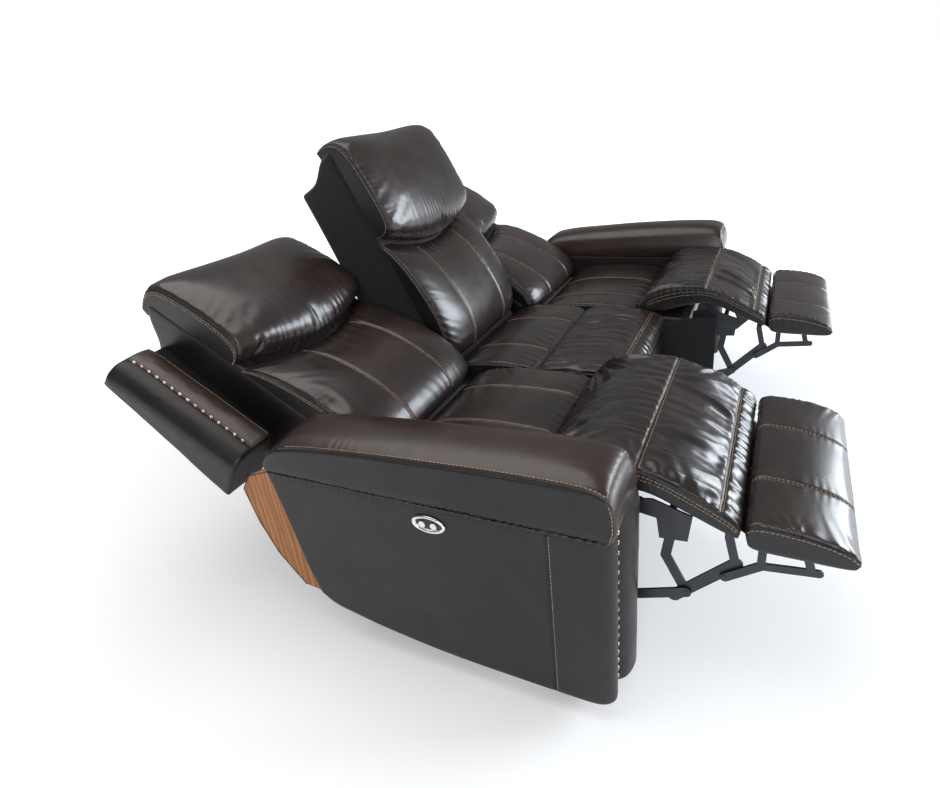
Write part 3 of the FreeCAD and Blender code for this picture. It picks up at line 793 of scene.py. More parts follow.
def camera():
    yaw, pitch, roll, f = 0.5021126, 0.4621322, 0.1230992, 599.4912
    fwd = np.array([math.cos(yaw) * math.cos(pitch), math.sin(yaw) * math.cos(pitch), -math.sin(pitch)])
    right = np.array([math.sin(yaw), -math.cos(yaw), 0.0])
    down = np.cross(fwd, right)
    c, s = math.cos(roll), math.sin(roll)
    r2, d2 = c * right + s * down, -s * right + c * down
    cam = bpy.data.objects.new("camera", bpy.data.cameras.new("camera"))
    scene.collection.objects.link(cam)
    m = Matrix.Identity(4)
    for k, v in enumerate((r2, -d2, -fwd)):
        for row in range(3):
            m[row][k] = v[row]
    m[0][3], m[1][3], m[2][3] = -1.9215788, -0.2080904 - YC, 1.2807944
    cam.matrix_world = m
    cam.data.sensor_width = 36.0
    cam.data.lens = f * 36.0 / 940.0
    cam.data.clip_start, cam.data.clip_end = 0.05, 200.0
    scene.camera = cam


def area(name, at, to, sx, sy, power, colour):
    d = bpy.data.lights.new(name, "AREA")
    d.shape, d.size, d.size_y, d.energy, d.color = "RECTANGLE", sx, sy, power, colour
    o = bpy.data.objects.new(name, d)
    scene.collection.objects.link(o)
    o.location = at
    aim(o, to)
    return o


camera()
area("window", (2.6, -4.2, 2.0), (-0.1, 0.0, 0.5), 3.3, 2.2, 330, (0.86, 0.93, 1.0))
area("overhead", (-0.6, 0.8, 3.6), (-0.2, 0.2, 0.4), 3.2, 3.2, 80, (1.0, 0.98, 0.95))
area("near_side", (-4.2, -1.6, 2.2), (-0.6, 0.0, 0.4), 2.4, 1.8, 60, (0.97, 0.98, 1.0))
world = bpy.data.worlds.new("studio")
scene.world = world
world.use_nodes = True
wt = world.node_tree
bg = wt.nodes["Background"]
bg.inputs[0].default_value = (0.93, 0.96, 1.0, 1.0)
bg.inputs[1].default_value = 0.33
pale = wt.nodes.new("ShaderNodeBackground")
pale.inputs[0].default_value = (1.0, 1.0, 1.0, 1.0)
pale.inputs[1].default_value = 1.0
path = wt.nodes.new("ShaderNodeLightPath")
mixer = wt.nodes.new("ShaderNodeMixShader")
link(wt, path.outputs["Is Camera Ray"], mixer.inputs[0])
link(wt, bg.outputs[0], mixer.inputs[1])
link(wt, pale.outputs[0], mixer.inputs[2])
link(wt, mixer.outputs[0], wt.nodes["World Output"].inputs[0])
scene.view_settings.view_transform = "Standard"
scene.view_settings.look = "None"
scene.view_settings.exposure = 0.0


def floor():
    n = 48
    ring = [0.0, 3.0, 12.0, 60.0]
    v, quads, tris = [(0, 0, 0)], [], []
    for r in ring[1:]:
        for k in range(n):
            a = 2 * math.pi * k / n
            v.append((r * math.cos(a), r * math.sin(a), 0.0))
    for k in range(n):
        tris.append((0, 1 + k, 1 + (k + 1) % n))
    for i in range(len(ring) - 2):
        for k in range(n):
            a, b = 1 + i * n + k, 1 + i * n + (k + 1) % n
            quads.append((a, a + n, b + n, b))
    o = put_mesh("floor", np.array(v, float) - [0, 0, 0.0005], [np.array(tris), np.array(quads)], [M["floor"]])


floor()


# ------------------------------------------------------------------ shapes of the padded pieces
X_IN, X_OUT = 0.306, 0.884
L = [M["leather"], M["boxing"]]


def edge_index(u, v, w):
    return ((v < 1e-6) | (v > 1 - 1e-6)).astype(int)


class Lean:
    """A back's own plane: s up along it and h out of it."""

    def __init__(self, y, z, deg):
        self.y, self.z = y, z
        self.c, self.s = math.cos(math.radians(deg)), math.sin(math.radians(deg))

    def __call__(self, s, h):
        return self.y + s * self.c - h * self.s, self.z + s * self.s + h * self.c


OUT, MID = Lean(0.665, 0.505, 31.6), Lean(0.725, 0.500, 65.6)

PAD_TOP = Line([(0.247, 0.470), (0.236, 0.484), (0.215, 0.512), (0.185, 0.538), (0.14, 0.556), (0.09, 0.566), (0.04, 0.568), (0.0, 0.564), (-0.06, 0.546), (-0.12, 0.517), (-0.17, 0.489), (-0.196, 0.470), (-0.207, 0.452)])
PAD_LOW = Line([(0.245, 0.456), (0.2, 0.458), (0.15, 0.468), (0.1, 0.484), (0.05, 0.498), (0.0, 0.508), (-0.04, 0.500), (-0.1, 0.472), (-0.198, 0.428), (-0.204, 0.432)])
SEAT_TOP = Line([(0.052, 0.440), (0.15, 0.446), (0.215, 0.448), (0.236, 0.452), (0.243, 0.462), (0.254, 0.474), (0.275, 0.481), (0.34, 0.486), (0.44, 0.488), (0.53, 0.482), (0.60, 0.468), (0.645, 0.440)])
SEAT_LOW = Line([(0.056, 0.419), (0.30, 0.419), (0.63, 0.419)])
OTT_TOP = Line([(-0.2122, 0.446), (-0.2145, 0.464), (-0.230, 0.475), (-0.31, 0.470), (-0.365, 0.457), (-0.398, 0.443), (-0.413, 0.428), (-0.416, 0.416)])
OTT_LOW = Line([(-0.220, 0.414), (-0.236, 0.402), (-0.32, 0.401), (-0.395, 0.401), (-0.411, 0.409)])


def between(low, top, xi, xo, s):
    def place(u, v, w):
        ya, za = low(u)
        yb, zb = top(u)
        return s * (xi + v * (xo - xi)), ya + (yb - ya) * w, za + (zb - za) * w

    return place


def pins(lines_u=(), lines_v=(), width=0.012, dims=(1, 1, 1), low=True, ends=True, sides=True):
    """Holds a piece's seams: its edges, its underside, and seam lines at shares of u or of v, on its top."""

    def pin(u, v, w):
        du, dv, dw = dims
        hold = np.zeros(len(u))
        if low:
            hold = np.maximum(hold, (w < 0.999) * (1 - smooth(w * dw, dw - 0.02, dw)))
        if ends:
            hold = np.maximum(hold, ((u < 1e-6) | (u > 1 - 1e-6)) * 1.0)
        if sides:
            hold = np.maximum(hold, ((v < 1e-6) | (v > 1 - 1e-6)) * 1.0)
        for a in lines_u:
            hold = np.maximum(hold, np.clip(1.25 - np.abs(u - a) * du / width, 0, 1))
        for a in lines_v:
            hold = np.maximum(hold, np.clip(1.25 - np.abs(v - a) * dv / width, 0, 1))
        return hold

    return pin


def crease(v):
    """Where the head pillow meets the back cushion, along the back: lower in the middle."""
    return 0.432 - 0.072 * np.clip(1 - np.abs(2 * v - 1) ** 1.8, 0, 1)


LUMBAR = Line([(0.0, -0.040), (0.012, -0.018), (0.05, 0.000), (0.12, 0.018), (0.25, 0.030), (0.42, 0.030), (0.62, 0.020), (0.78, 0.004), (0.90, -0.018), (1.0, -0.048)], 2)
PILLOW = Line([(0.470, -0.060), (0.452, -0.034), (0.446, -0.008), (0.449, 0.016), (0.466, 0.032), (0.51, 0.040), (0.57, 0.038), (0.64, 0.034), (0.70, 0.028), (0.748, 0.016), (0.776, -0.006), (0.790, -0.038), (0.792, -0.070), (0.786, -0.094)])


def lumbar(lean, xi, xo, s, bottom=-0.045):
    def place(u, v, w):
        e = np.abs(2 * v - 1)
        s0 = bottom + 0.022 * e**6 + 0.05 * (1 - w)
        at = s0 + (crease(v) + 0.014 - s0) * u
        top = np.interp(u, LUMBAR.p[:, 0], LUMBAR.p[:, 1]) - 0.020 * e**7
        h = -0.100 + (top + 0.100) * w
        y, z = lean(at, h)
        return s * (xi + v * (xo - xi)), y, z

    return place


def pillow(lean, xi, xo, s):
    def place(u, v, w):
        e = np.abs(2 * v - 1)
        fs, fh = PILLOW(u)
        drop = (0.432 - crease(v)) * (1 - u) ** 1.1
        bs = 0.462 + (0.772 - 0.462) * u
        at = bs + (fs - bs) * w - drop
        at = at - 0.012 * e**8 * smooth(u, 0.5, 1.0)
        h = -0.100 + (fh - 0.019 * e**7 + 0.100) * w
        if lean is OUT:
            at, h = at + 0.010 * smooth(u, 0.3, 0.9), h + 0.012 * w * smooth(u, 0.1, 0.5)
        y, z = lean(at, h)
        return s * (xi + v * (xo - xi)), y, z

    return place


def shell(lean, xi, xo, s, low, high):
    """The outside back: a firm padded box behind the cushions."""

    def place(u, v, w):
        at = low + (high + 0.056 * smooth(w, 0.35, 0.8) - low) * u
        rear = -0.290 + 0.046 * smooth(at, low, high)
        h = rear + (-0.052 - rear) * w
        h = h - 0.006 * np.sin(math.pi * v) * np.sin(math.pi * u) * (1 - w)
        y, z = lean(at, h)
        return s * (xi + v * (xo - xi)), y, z

    return place


def wing(s):
    def place(u, v, w):
        at = 0.256 + (0.700 - 0.256) * u + 0.012 * (1 - w) * (u - 0.2)
        low = -0.289 + 0.076 * u
        d = (1 - v) * 0.140
        r = 0.058
        fall = np.where(d < r, r - np.sqrt(np.maximum(r * r - (r - d) ** 2, 0)), 0)
        top = -0.138 - 0.010 * smooth(u, 0.85, 1.0) - fall * 0.9 + 0.004 * np.sin(math.pi * np.clip(v / 0.55, 0, 1))
        h = low + (top - low) * w
        y, z = OUT(at, h)
        return s * (0.928 + v * 0.138), y, z

    return place


ARM_TOP = Line([(-0.004, 0.600), (0.004, 0.622), (0.022, 0.638), (0.07, 0.646), (0.20, 0.646), (0.35, 0.641), (0.50, 0.634), (0.64, 0.625), (0.74, 0.614), (0.79, 0.602)], 2)


def arm_pad(s):
    """The arm's padded top: a panel with a sewn seam at its outer edge and a band below it."""

    def place(u, v, w):
        front = np.interp(w, [0, 0.4, 0.8, 1.0], [0.001, -0.008, -0.006, 0.004])
        rear = np.interp(w, [0, 0.35, 0.7, 1.0], [0.853, 0.850, 0.826, 0.786])
        y = front + (rear - front) * u
        zt = np.interp(y, ARM_TOP.p[:, 0], ARM_TOP.p[:, 1])
        d = v * 0.187
        r = 0.050
        fall = np.where(d < r, r - np.sqrt(np.maximum(r * r - (r - d) ** 2, 0)), 0)
        fall = fall + 0.010 * smooth(v, 0.80, 1.0)
        crown = 0.007 * np.sin(math.pi * v)
        z = 0.514 + (zt - 0.514 - fall + crown) * w
        x = 0.893 + v * 0.187
        x = x - 0.010 * (1 - v) ** 6 * np.sin(math.pi * w) * smooth(y, 0.9, 0.1)
        x = x - 0.004 * v**6 * (1 - smooth(w, 0.0, 0.22))
        return s * x, y, z

    return place


# Plan of the side panel: back to front along the outside, round the front corner and into the nail groove.
SKIN = Line([(1.0735, 0.852), (1.0735, 0.30), (1.0740, 0.060), (1.0730, 0.034), (1.066, 0.012), (1.050, -0.001), (1.034, -0.002), (1.021, 0.005), (1.016, 0.016)], 3)
FOOT = Line([(-0.01, 0.053), (0.022, 0.053), (0.25, 0.054), (0.436, 0.060), (0.60, 0.080), (0.683, 0.097), (0.745, 0.110), (0.778, 0.140), (0.86, 0.20)], 2)


def side_panel(s):
    def place(u, v, w):
        x, y = SKIN(u)
        nx, ny = SKIN.normal(u)
        far = smooth(y, 0.05, 0.852)
        rear = np.interp(w, [0, 0.2, 1.0], [0.782, 0.803, 0.850])
        yy = y + (rear / 0.852 - 1) * 0.852 * far**1.0 * (y / 0.852)
        z0 = np.interp(yy, FOOT.p[:, 0], FOOT.p[:, 1])
        z = z0 + (0.5135 - z0) * w
        t = 0.021 * (1 - v)
        return s * (x - nx * t), yy - ny * t, z

    return place


ROLL = Line([(1.000, 0.018), (0.995, 0.004), (0.982, -0.008), (0.958, -0.017), (0.930, -0.019), (0.906, -0.013), (0.890, 0.002), (0.886, 0.025), (0.8885, 0.060), (0.889, 0.092)], 3)


def front_roll(s):
    def place(u, v, w):
        x, y = ROLL(u)
        nx, ny = ROLL.normal(u)
        fade = smooth(w, 1.0, 0.86)
        y = np.where(y < 0.02, 0.02 + (y - 0.02) * (0.45 + 0.55 * fade), y)
        z = 0.054 + (0.588 - 0.054) * w
        x = np.maximum(x, 0.889 + 0.016 * smooth(w, 0.72, 0.86))
        t = 0.016 * (1 - v)
        return s * (x - nx * t), y - ny * t, z

    return place


def board(x0, x1, outline_low, outline_top, s, bulge=0.0):
    def place(u, v, w):
        ya, za = outline_low(u)
        yb, zb = outline_top(u)
        x = x0 + (x1 - x0) * v
        return s * (x + bulge * np.sin(math.pi * u) * np.sin(math.pi * w) * (2 * v - 1)), ya + (yb - ya) * w, za + (zb - za) * w

    return place


MSEAT_TOP = Line([(0.132, 0.420), (0.136, 0.446), (0.152, 0.466), (0.20, 0.478), (0.28, 0.484), (0.36, 0.484), (0.42, 0.478), (0.440, 0.466), (0.460, 0.478), (0.52, 0.486), (0.60, 0.485), (0.68, 0.474), (0.73, 0.456)])
MSEAT_LOW = Line([(0.160, 0.378), (0.30, 0.378), (0.50, 0.378), (0.732, 0.378)])

coarse = {}


def make(name, *a, **k):
    o = slab(name, *a, **k)
    coarse[name] = o
    return o


T = "_right"
d = (PAD_TOP.length, 0.578, 0.05)
LINE1, LINE2 = PAD_TOP.at(0, 0.0), PAD_TOP.at(0, -0.168)
o = make("leg_pad" + T, between(PAD_LOW, PAD_TOP, X_IN, X_OUT, -1), d, [M["leather_pad"], M["boxing"]], step=0.0135, steps=(0.0125, 0.0125, 0.012), r=0.006, near=1, index=edge_index)
stuff(o, pins((LINE1, LINE2), (), 0.010, d), 3.0, 0.020, 0.010)

d = (SEAT_TOP.length, 0.578, 0.06)
SEAT_V = (0.24, 0.615)
o = make("seat" + T, between(SEAT_LOW, SEAT_TOP, X_IN, X_OUT - 0.002, -1), d, L, step=0.0165, r=0.010, near=1, index=edge_index)
GROOVE = SEAT_TOP.at(0, 0.240)
stuff(o, pins((GROOVE,), SEAT_V, 0.012, d), 3.0, 0.018, 0.0)

d = (OTT_TOP.length, 0.574, 0.06)
OTT_V = (0.297, 0.703)
o = make("ottoman" + T, between(OTT_LOW, OTT_TOP, 0.308, 0.882, -1), d, L, step=0.0145, r=0.010, near=1, index=edge_index)
stuff(o, pins((), OTT_V, 0.010, d), 2.5, 0.012, 0.0)

d = (0.47, 0.568, 0.12)
BACK_V = (0.275, 0.69)
o = make("lumbar" + T, lumbar(OUT, 0.309, 0.881, -1), d, L, step=0.017, r=0.012, near=1, index=edge_index)
stuff(o, pins((), BACK_V, 0.011, d), 4.0, 0.026, 0.0)

d = (PILLOW.length, 0.568, 0.12)
o = make("head_pad" + T, pillow(OUT, 0.309, 0.881, -1), d, L, step=0.017, r=0.012, near=1, index=edge_index)
stuff(o, pins((), (), 0.012, d, low=True), 4.0, 0.022, 0.0)

d = (0.47, 0.572, 0.12)
MID_V = (0.27, 0.73)
o = make("middle_lumbar", lumbar(MID, -0.286, 0.286, 1, -0.03), d, L, step=0.017, r=0.012, near=1, index=edge_index)
stuff(o, pins((), MID_V, 0.011, d), 4.0, 0.026, 0.0)
d = (PILLOW.length, 0.572, 0.12)
o = make("middle_head_pad", pillow(MID, -0.286, 0.286, 1), d, L, step=0.017, r=0.012, near=1, index=edge_index)
stuff(o, pins((), (), 0.012, d), 4.0, 0.022, 0.0)

d = (MSEAT_TOP.length, 0.594, 0.10)
MG = MSEAT_TOP.at(0, 0.440)
MFRONT = MSEAT_TOP.at(0, 0.180)
o = make("middle_seat", between(MSEAT_LOW, MSEAT_TOP, -0.297, 0.297, 1), d, L, step=0.0155, r=0.010, near=1, index=edge_index)


def middle_pins(u, v, w):
    base = pins((MG, MFRONT), (), 0.012, d)(u, v, w)
    rear = (u > MG) * np.maximum(np.clip(1.25 - np.abs(v - 0.27) * 0.594 / 0.012, 0, 1), np.clip(1.25 - np.abs(v - 0.73) * 0.594 / 0.012, 0, 1))
    return np.maximum(base, rear)


stuff(o, middle_pins, 3.0, 0.018, 0.004)

d = (0.86, 0.187, 0.115)
o = make("arm_top" + T, arm_pad(-1), d, [M["leather_arm"], M["leather_side"]], step=0.0165, steps=(0.0165, 0.0135, 0.0145), r=0.009, near=1, index=lambda u, v, w: ((v > 1 - 1e-6) | (w < 1e-6) | (u > 1 - 1e-6)).astype(int))
stuff(o, pins((), (), 0.012, d, low=False), 1.5, 0.007, 0.0)

simulate()


# ------------------------------------------------------------------ both sides, fine detail, stitching
def twin(o, name):
    me = o.data.copy()
    co = coords(me)
    co[:, 0] *= -1
    set_coords(me, co)
    me.flip_normals()
    t = bpy.data.objects.new(name, me)
    t["dims"] = list(o["dims"])
    scene.collection.objects.link(t)
    coarse[name] = t
    return t


for name in [n for n in coarse if n.endswith("_right")]:
    twin(coarse[name], name[:-6] + "_left")


def attach(o, body, stands=(), bend=None):
    if bend:
        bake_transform(o)
    else:
        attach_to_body(o, body)
    if stands:
        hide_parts(*stands)
    return o


def row(y, z):
    return (0.0, y - YC, z)


def edge_dist(P, o):
    """How far a point is from the slab's four upper edges, along its face, in metres."""
    du, dv, dw = o["dims"]
    return np.minimum(P["v"], 1 - P["v"]) * dv, np.minimum(P["u"], 1 - P["u"]) * du


def boxing_band(P, o, seed, depth=0.003, wrinkle=0.0015):
    """The seam that joins a top panel to its boxing, with small gathers on both sides of it."""
    du, dv, dw = o["dims"]
    ev = np.minimum(P["v"], 1 - P["v"]) * dv
    below = (1 - P["w"]) * dw
    dist = np.where(P["top"] > 0, ev, np.where(ev < 1e-6, below, 1.0))
    along = P["u"] * du
    m = groove(dist - 0.001, depth, 0.0035)
    m = m + wrinkle * folds(along, dist, 0.021, seed) * np.exp(-dist / 0.020)
    # painted shade: the leather is darkened along the sunken boxing seam
    seam_shade = 0.75 * np.exp(-((dist / 0.0045) ** 2))
    return m, seam_shade


def leg_pad_shape(o, seed):
    du, dv, dw = o["dims"]

    def shape(P):
        a, x = P["u"] * du, P["v"] * dv
        top = P["top"]
        a1, a2 = LINE1 * du, LINE2 * du
        d1, d2 = a - a1, a - a2
        m, seam_shade = boxing_band(P, o, seed, 0.003, 0.0022)
        g1, g2 = np.abs(d1), np.abs(d2)
        m = m + top * (groove(g1, 0.0045, 0.0045) + groove(g2, 0.0045, 0.0045))
        # painted shade along the leg pad's two sunken sewn lines
        seam_shade = seam_shade + top * 0.8 * (np.exp(-((g1 / 0.005) ** 2)) + np.exp(-((g2 / 0.005) ** 2)))
        # between the seat and the first line: gathers that spread from both rear corners and off the groove
        z0 = (d1 < 0) * top
        for side, sd in ((1.0, 0), (0.0, 40)):
            cx, ca = side * dv, 0.020
            rx, ra = np.abs(x - cx), a - ca
            rho = np.sqrt(rx**2 + (ra * 0.9) ** 2) + 1e-6
            phi = np.arctan2(ra, rx)
            f = folds(phi * 0.115 + 0.02, rho * 0.5, 0.034, seed + 11 + sd, 1.2)
            m = m + z0 * 0.0145 * f * smooth(rho, 0.015, 0.07) * smooth(rho, 0.26, 0.09)
        f = folds(x, a * 0.6, 0.050, seed + 3, 1.2, lean=0.35)
        m = m + z0 * 0.0072 * f * np.exp(-((a / 0.12) ** 2))
        f = folds(x, g1 * 0.6, 0.034, seed + 5, 1.3, lean=-0.2)
        m = m + z0 * 0.0066 * f * np.exp(-g1 / 0.055) * smooth(g1, 0.002, 0.02)
        cross = noise(a / 0.07, x / 0.17, seed=seed + 7)
        m = m + z0 * 0.0058 * cross * smooth(a, 0.02, 0.10)
        # between the two lines: broad wrinkles
        z1 = (d1 >= 0) * (d2 < 0) * top
        warp = x + 0.09 * noise(a / 0.22, x / 0.25, seed=seed + 8) + 0.55 * (d1 - 0.08) * noise(x / 0.20, seed=seed + 9)
        r = np.sqrt(noise(warp / 0.075, a / 0.40, seed=seed + 10) ** 2 + 0.012)
        m = m + z1 * 0.0135 * ((1 - r) ** 2.0 - 0.42) * smooth(g1, 0.0, 0.045) * smooth(g2, 0.0, 0.030)
        f = folds(x, g2 * 0.6, 0.040, seed + 12, 1.2, lean=0.25)
        m = m + z1 * 0.0048 * f * np.exp(-g2 / 0.040) * smooth(g2, 0.002, 0.018)
        f = folds(x, g1 * 0.6, 0.046, seed + 13, 1.2, lean=0.25)
        m = m + z1 * 0.0028 * f * np.exp(-g1 / 0.035) * smooth(g1, 0.002, 0.018)
        # past the second line: short gathers
        z2 = (d2 >= 0) * top
        f = folds(x, d2 * 0.6, 0.031, seed + 14, 1.3)
        m = m + z2 * 0.0040 * f * smooth(d2, 0.002, 0.014)
        # near the outer and inner edges: puckers that lean along the edge seam
        ev = np.minimum(x, dv - x)
        f = folds(a, ev * 0.6, 0.050, seed + 16, 1.2, lean=0.8)
        m = m + top * 0.0056 * f * np.exp(-ev / 0.045) * smooth(ev, 0.004, 0.02)
        m = m + 0.0006 * fbm(P["co"][:, 0] / 0.05, P["co"][:, 1] / 0.05, P["co"][:, 2] / 0.05, seed + 18) * top
        return m, seam_shade

    return shape


def seat_shape(o, seed, lines):
    du, dv, dw = o["dims"]

    def shape(P):
        a, x = P["u"] * du, P["v"] * dv
        top = P["top"]
        m, seam_shade = boxing_band(P, o, seed, 0.003, 0.0016)
        g = a - GROOVE * du
        for k in lines:
            q = np.abs(x - k * dv)
            on = top * (g > 0)
            m = m + on * groove(q, 0.0035, 0.0042)
            # painted shade along the seat's sunken sewn lines
            seam_shade = seam_shade + on * 0.7 * np.exp(-((q / 0.0048) ** 2))
            m = m + on * 0.0018 * folds(a, q, 0.030, seed + 2, 1.4) * np.exp(-q / 0.022) * smooth(q, 0.002, 0.012)
        rear = top * (g > 0)
        m = m + rear * 0.0040 * folds(x, g, 0.036, seed + 4, 1.3, lean=0.2) * np.exp(-g / 0.055) * smooth(g, 0.002, 0.02)
        # painted shade in the crease where the seat meets the back
        seam_shade = seam_shade + top * 0.8 * np.exp(-((g / 0.008) ** 2))
        m = m + rear * 0.0016 * noise(x / 0.18, a / 0.07, seed=seed + 6)
        ev = np.minimum(x, dv - x)
        m = m + rear * 0.0028 * folds(a, ev, 0.045, seed + 8, 1.3, lean=0.4) * np.exp(-ev / 0.045)
        return m, seam_shade

    return shape


def ottoman_shape(o, seed):
    du, dv, dw = o["dims"]

    def shape(P):
        a, x = P["u"] * du, P["v"] * dv
        top = P["top"]
        m, seam_shade = boxing_band(P, o, seed, 0.0032, 0.0026)
        for k in OTT_V:
            q = np.abs(x - k * dv)
            m = m + top * groove(q, 0.0040, 0.0042)
            # painted shade along the ottoman's sunken sewn lines
            seam_shade = seam_shade + top * 0.75 * np.exp(-((q / 0.0048) ** 2))
            m = m + top * 0.0016 * folds(a, q, 0.026, seed + 2, 1.4) * np.exp(-q / 0.02) * smooth(q, 0.002, 0.012)
        ev = np.minimum(x, dv - x)
        m = m + top * 0.0032 * folds(a, ev, 0.027, seed + 4, 1.3, lean=0.3) * np.exp(-ev / 0.034) * smooth(ev, 0.003, 0.015)
        m = m + top * 0.0010 * noise(x / 0.12, a / 0.09, seed=seed + 5)
        m = m + top * 0.0020 * folds(x, a, 0.034, seed + 6, 1.3) * np.exp(-a / 0.03)
        return m, seam_shade

    return shape


def lumbar_shape(o, seed, lines, dimple=None):
    du, dv, dw = o["dims"]

    def shape(P):
        a, x = P["u"] * du, P["v"] * dv
        top = P["top"]
        m, seam_shade = boxing_band(P, o, seed, 0.0035, 0.0016)
        for k in lines:
            q = np.abs(x - k * dv)
            m = m + top * groove(q, 0.0038, 0.0045)
            # painted shade along the back cushion's sunken sewn lines
            seam_shade = seam_shade + top * 0.7 * np.exp(-((q / 0.005) ** 2))
            m = m + top * 0.0012 * folds(a, q, 0.034, seed + 2, 1.4) * np.exp(-q / 0.022) * smooth(q, 0.002, 0.012)
        up = du - a
        m = m + top * 0.0040 * folds(x, up, 0.040, seed + 4, 1.3, lean=-0.2) * np.exp(-up / 0.050)
        m = m + top * 0.0016 * noise(x / 0.16, a / 0.13, seed=seed + 5)
        m = m + top * 0.0012 * folds(x, a, 0.038, seed + 6, 1.3) * np.exp(-a / 0.045)
        ev = np.minimum(x, dv - x)
        m = m + top * 0.0026 * folds(a, ev, 0.050, seed + 7, 1.3, lean=0.5) * np.exp(-ev / 0.05)
        # painted shade at the cushion's top edge, tucked under the head pillow
        seam_shade = seam_shade + top * 0.5 * np.exp(-up / 0.012)
        if dimple:
            rx, ra = x - dimple[0], a - dimple[1]
            rho = np.sqrt((rx / 0.8) ** 2 + ((ra + 0.5 * rx) / 1.7) ** 2)
            m = m + top * (-0.0065 * np.exp(-((rho / 0.022) ** 2)) + 0.0018 * np.exp(-(((rho - 0.040) / 0.018) ** 2)))
        return m, seam_shade

    return shape


def pillow_shape(o, seed, tuck=None):
    du, dv, dw = o["dims"]

    def shape(P):
        a, x = P["u"] * du, P["v"] * dv
        top = P["top"]
        m, seam_shade = boxing_band(P, o, seed, 0.0035, 0.0018)
        low = a - 0.030
        mid = np.exp(-(((x / dv - 0.5) / 0.40) ** 4))
        f = folds(x, a, 0.025, seed + 2, 1.4)
        m = m + top * 0.0052 * f * mid * smooth(a, 0.004, 0.030) * np.exp(-np.maximum(low, 0) / 0.055)
        ev = np.minimum(x, dv - x)
        m = m + top * 0.0036 * folds(a, ev, 0.048, seed + 3, 1.3, lean=-0.6) * np.exp(-ev / 0.045) * smooth(ev, 0.003, 0.02)
        m = m + top * 0.0018 * noise(x / 0.17, a / 0.15, seed=seed + 4)
        # painted shade along the pillow's lower edge, in the crease
        seam_shade = seam_shade + top * 0.6 * np.exp(-a / 0.016)
        if tuck:
            rx, ra = x - tuck[0], a - tuck[1]
            line = np.abs(rx + 0.35 * ra)
            m = m + top * (-0.011 * np.exp(-((line / 0.007) ** 2)) * np.exp(-((ra / 0.028) ** 2)) + 0.005 * np.exp(-(((line - 0.016) / 0.009) ** 2)) * np.exp(-((ra / 0.030) ** 2)))
        return m, seam_shade

    return shape


def middle_seat_shape(o, seed):
    du, dv, dw = o["dims"]

    def shape(P):
        a, x = P["u"] * du, P["v"] * dv
        top = P["top"]
        m, seam_shade = boxing_band(P, o, seed, 0.003, 0.0016)
        g, f1 = a - MG * du, a - MFRONT * du
        m = m + top * (groove(np.abs(g), 0.006, 0.007) + groove(np.abs(f1), 0.0035, 0.0045))
        # painted shade in the middle seat's crease and along its front sewn line
        seam_shade = seam_shade + top * (0.9 * np.exp(-((g / 0.008) ** 2)) + 0.7 * np.exp(-((f1 / 0.005) ** 2)))
        for k in (0.27, 0.73):
            q = np.abs(x - k * dv)
            on = top * (g > 0)
            m = m + on * groove(q, 0.0035, 0.0045)
            # painted shade along the middle seat's sunken sewn lines
            seam_shade = seam_shade + on * 0.7 * np.exp(-((q / 0.005) ** 2))
        fr = top * (g < 0) * (f1 > 0)
        w = x + 0.06 * noise(a / 0.14, x / 0.2, seed=seed + 1)
        r = 1 - np.abs(noise(w / 0.045, a / 0.22, seed=seed + 2))
        m = m + fr * 0.0085 * (r**2 - 0.42) * smooth(-g, 0.0, 0.03) * smooth(f1, 0.0, 0.05)
        m = m + fr * 0.0045 * folds(x, -g, 0.030, seed + 3, 1.4) * np.exp(g / 0.06) * smooth(-g, 0.003, 0.02)
        m = m + top * (g > 0) * 0.0040 * folds(x, g, 0.032, seed + 4, 1.4) * np.exp(-np.maximum(g, 0) / 0.05) * smooth(g, 0.003, 0.02)
        m = m + top * (g > 0) * 0.0016 * noise(x / 0.18, a / 0.07, seed=seed + 6)
        m = m + top * (f1 < 0) * 0.0022 * folds(x, -f1, 0.028, seed + 8, 1.4)
        return m, seam_shade

    return shape


def arm_shape(o, seed):
    du, dv, dw = o["dims"]

    def shape(P):
        a, x, h = P["u"] * du, P["v"] * dv, P["w"] * dw
        top = P["top"]
        out = (P["v"] > 0.9999).astype(float)
        cap = (P["u"] < 1e-4).astype(float)
        e = (1 - P["v"]) * dv
        dist = np.where(top > 0, e, np.where(out > 0, dw - h, 1.0))
        m = groove(dist - 0.001, 0.0032, 0.0036)
        dist2 = np.where(top > 0, a, np.where(cap > 0, dw - h, 1.0))
        m = m + groove(dist2 - 0.001, 0.0030, 0.0034)
        dist3 = np.where(out > 0, a, np.where(cap > 0, e, 1.0))
        m = m + groove(dist3 - 0.001, 0.0022, 0.0030)
        # painted shade along the arm top's sunken outer and front seams
        seam_shade = 0.7 * np.exp(-((dist / 0.0045) ** 2)) + 0.7 * np.exp(-((dist2 / 0.0045) ** 2))
        m = m + 0.0014 * folds(a, dist, 0.030, seed, 1.3) * np.exp(-dist / 0.02)
        # gathers along the band's lower seam
        g = folds(a, h, 0.0185, seed + 3, 1.3)
        m = m + out * 0.0030 * g * np.exp(-h / 0.014)
        # painted shade under the band, along its gathered lower seam
        seam_shade = seam_shade + out * 0.8 * np.exp(-h / 0.006)
        m = m + top * 0.0012 * noise(a / 0.20, x / 0.12, seed=seed + 5) + out * 0.0010 * noise(a / 0.16, h / 0.07, seed=seed + 6)
        m = m + top * 0.0016 * folds(x, a, 0.024, seed + 7, 1.3) * np.exp(-a / 0.03)
        return m, seam_shade

    return shape


def ladder(side, a0, a1, b0, b1, n=160):
    return np.linspace(a0, a1, n), np.linspace(b0, b1, n)


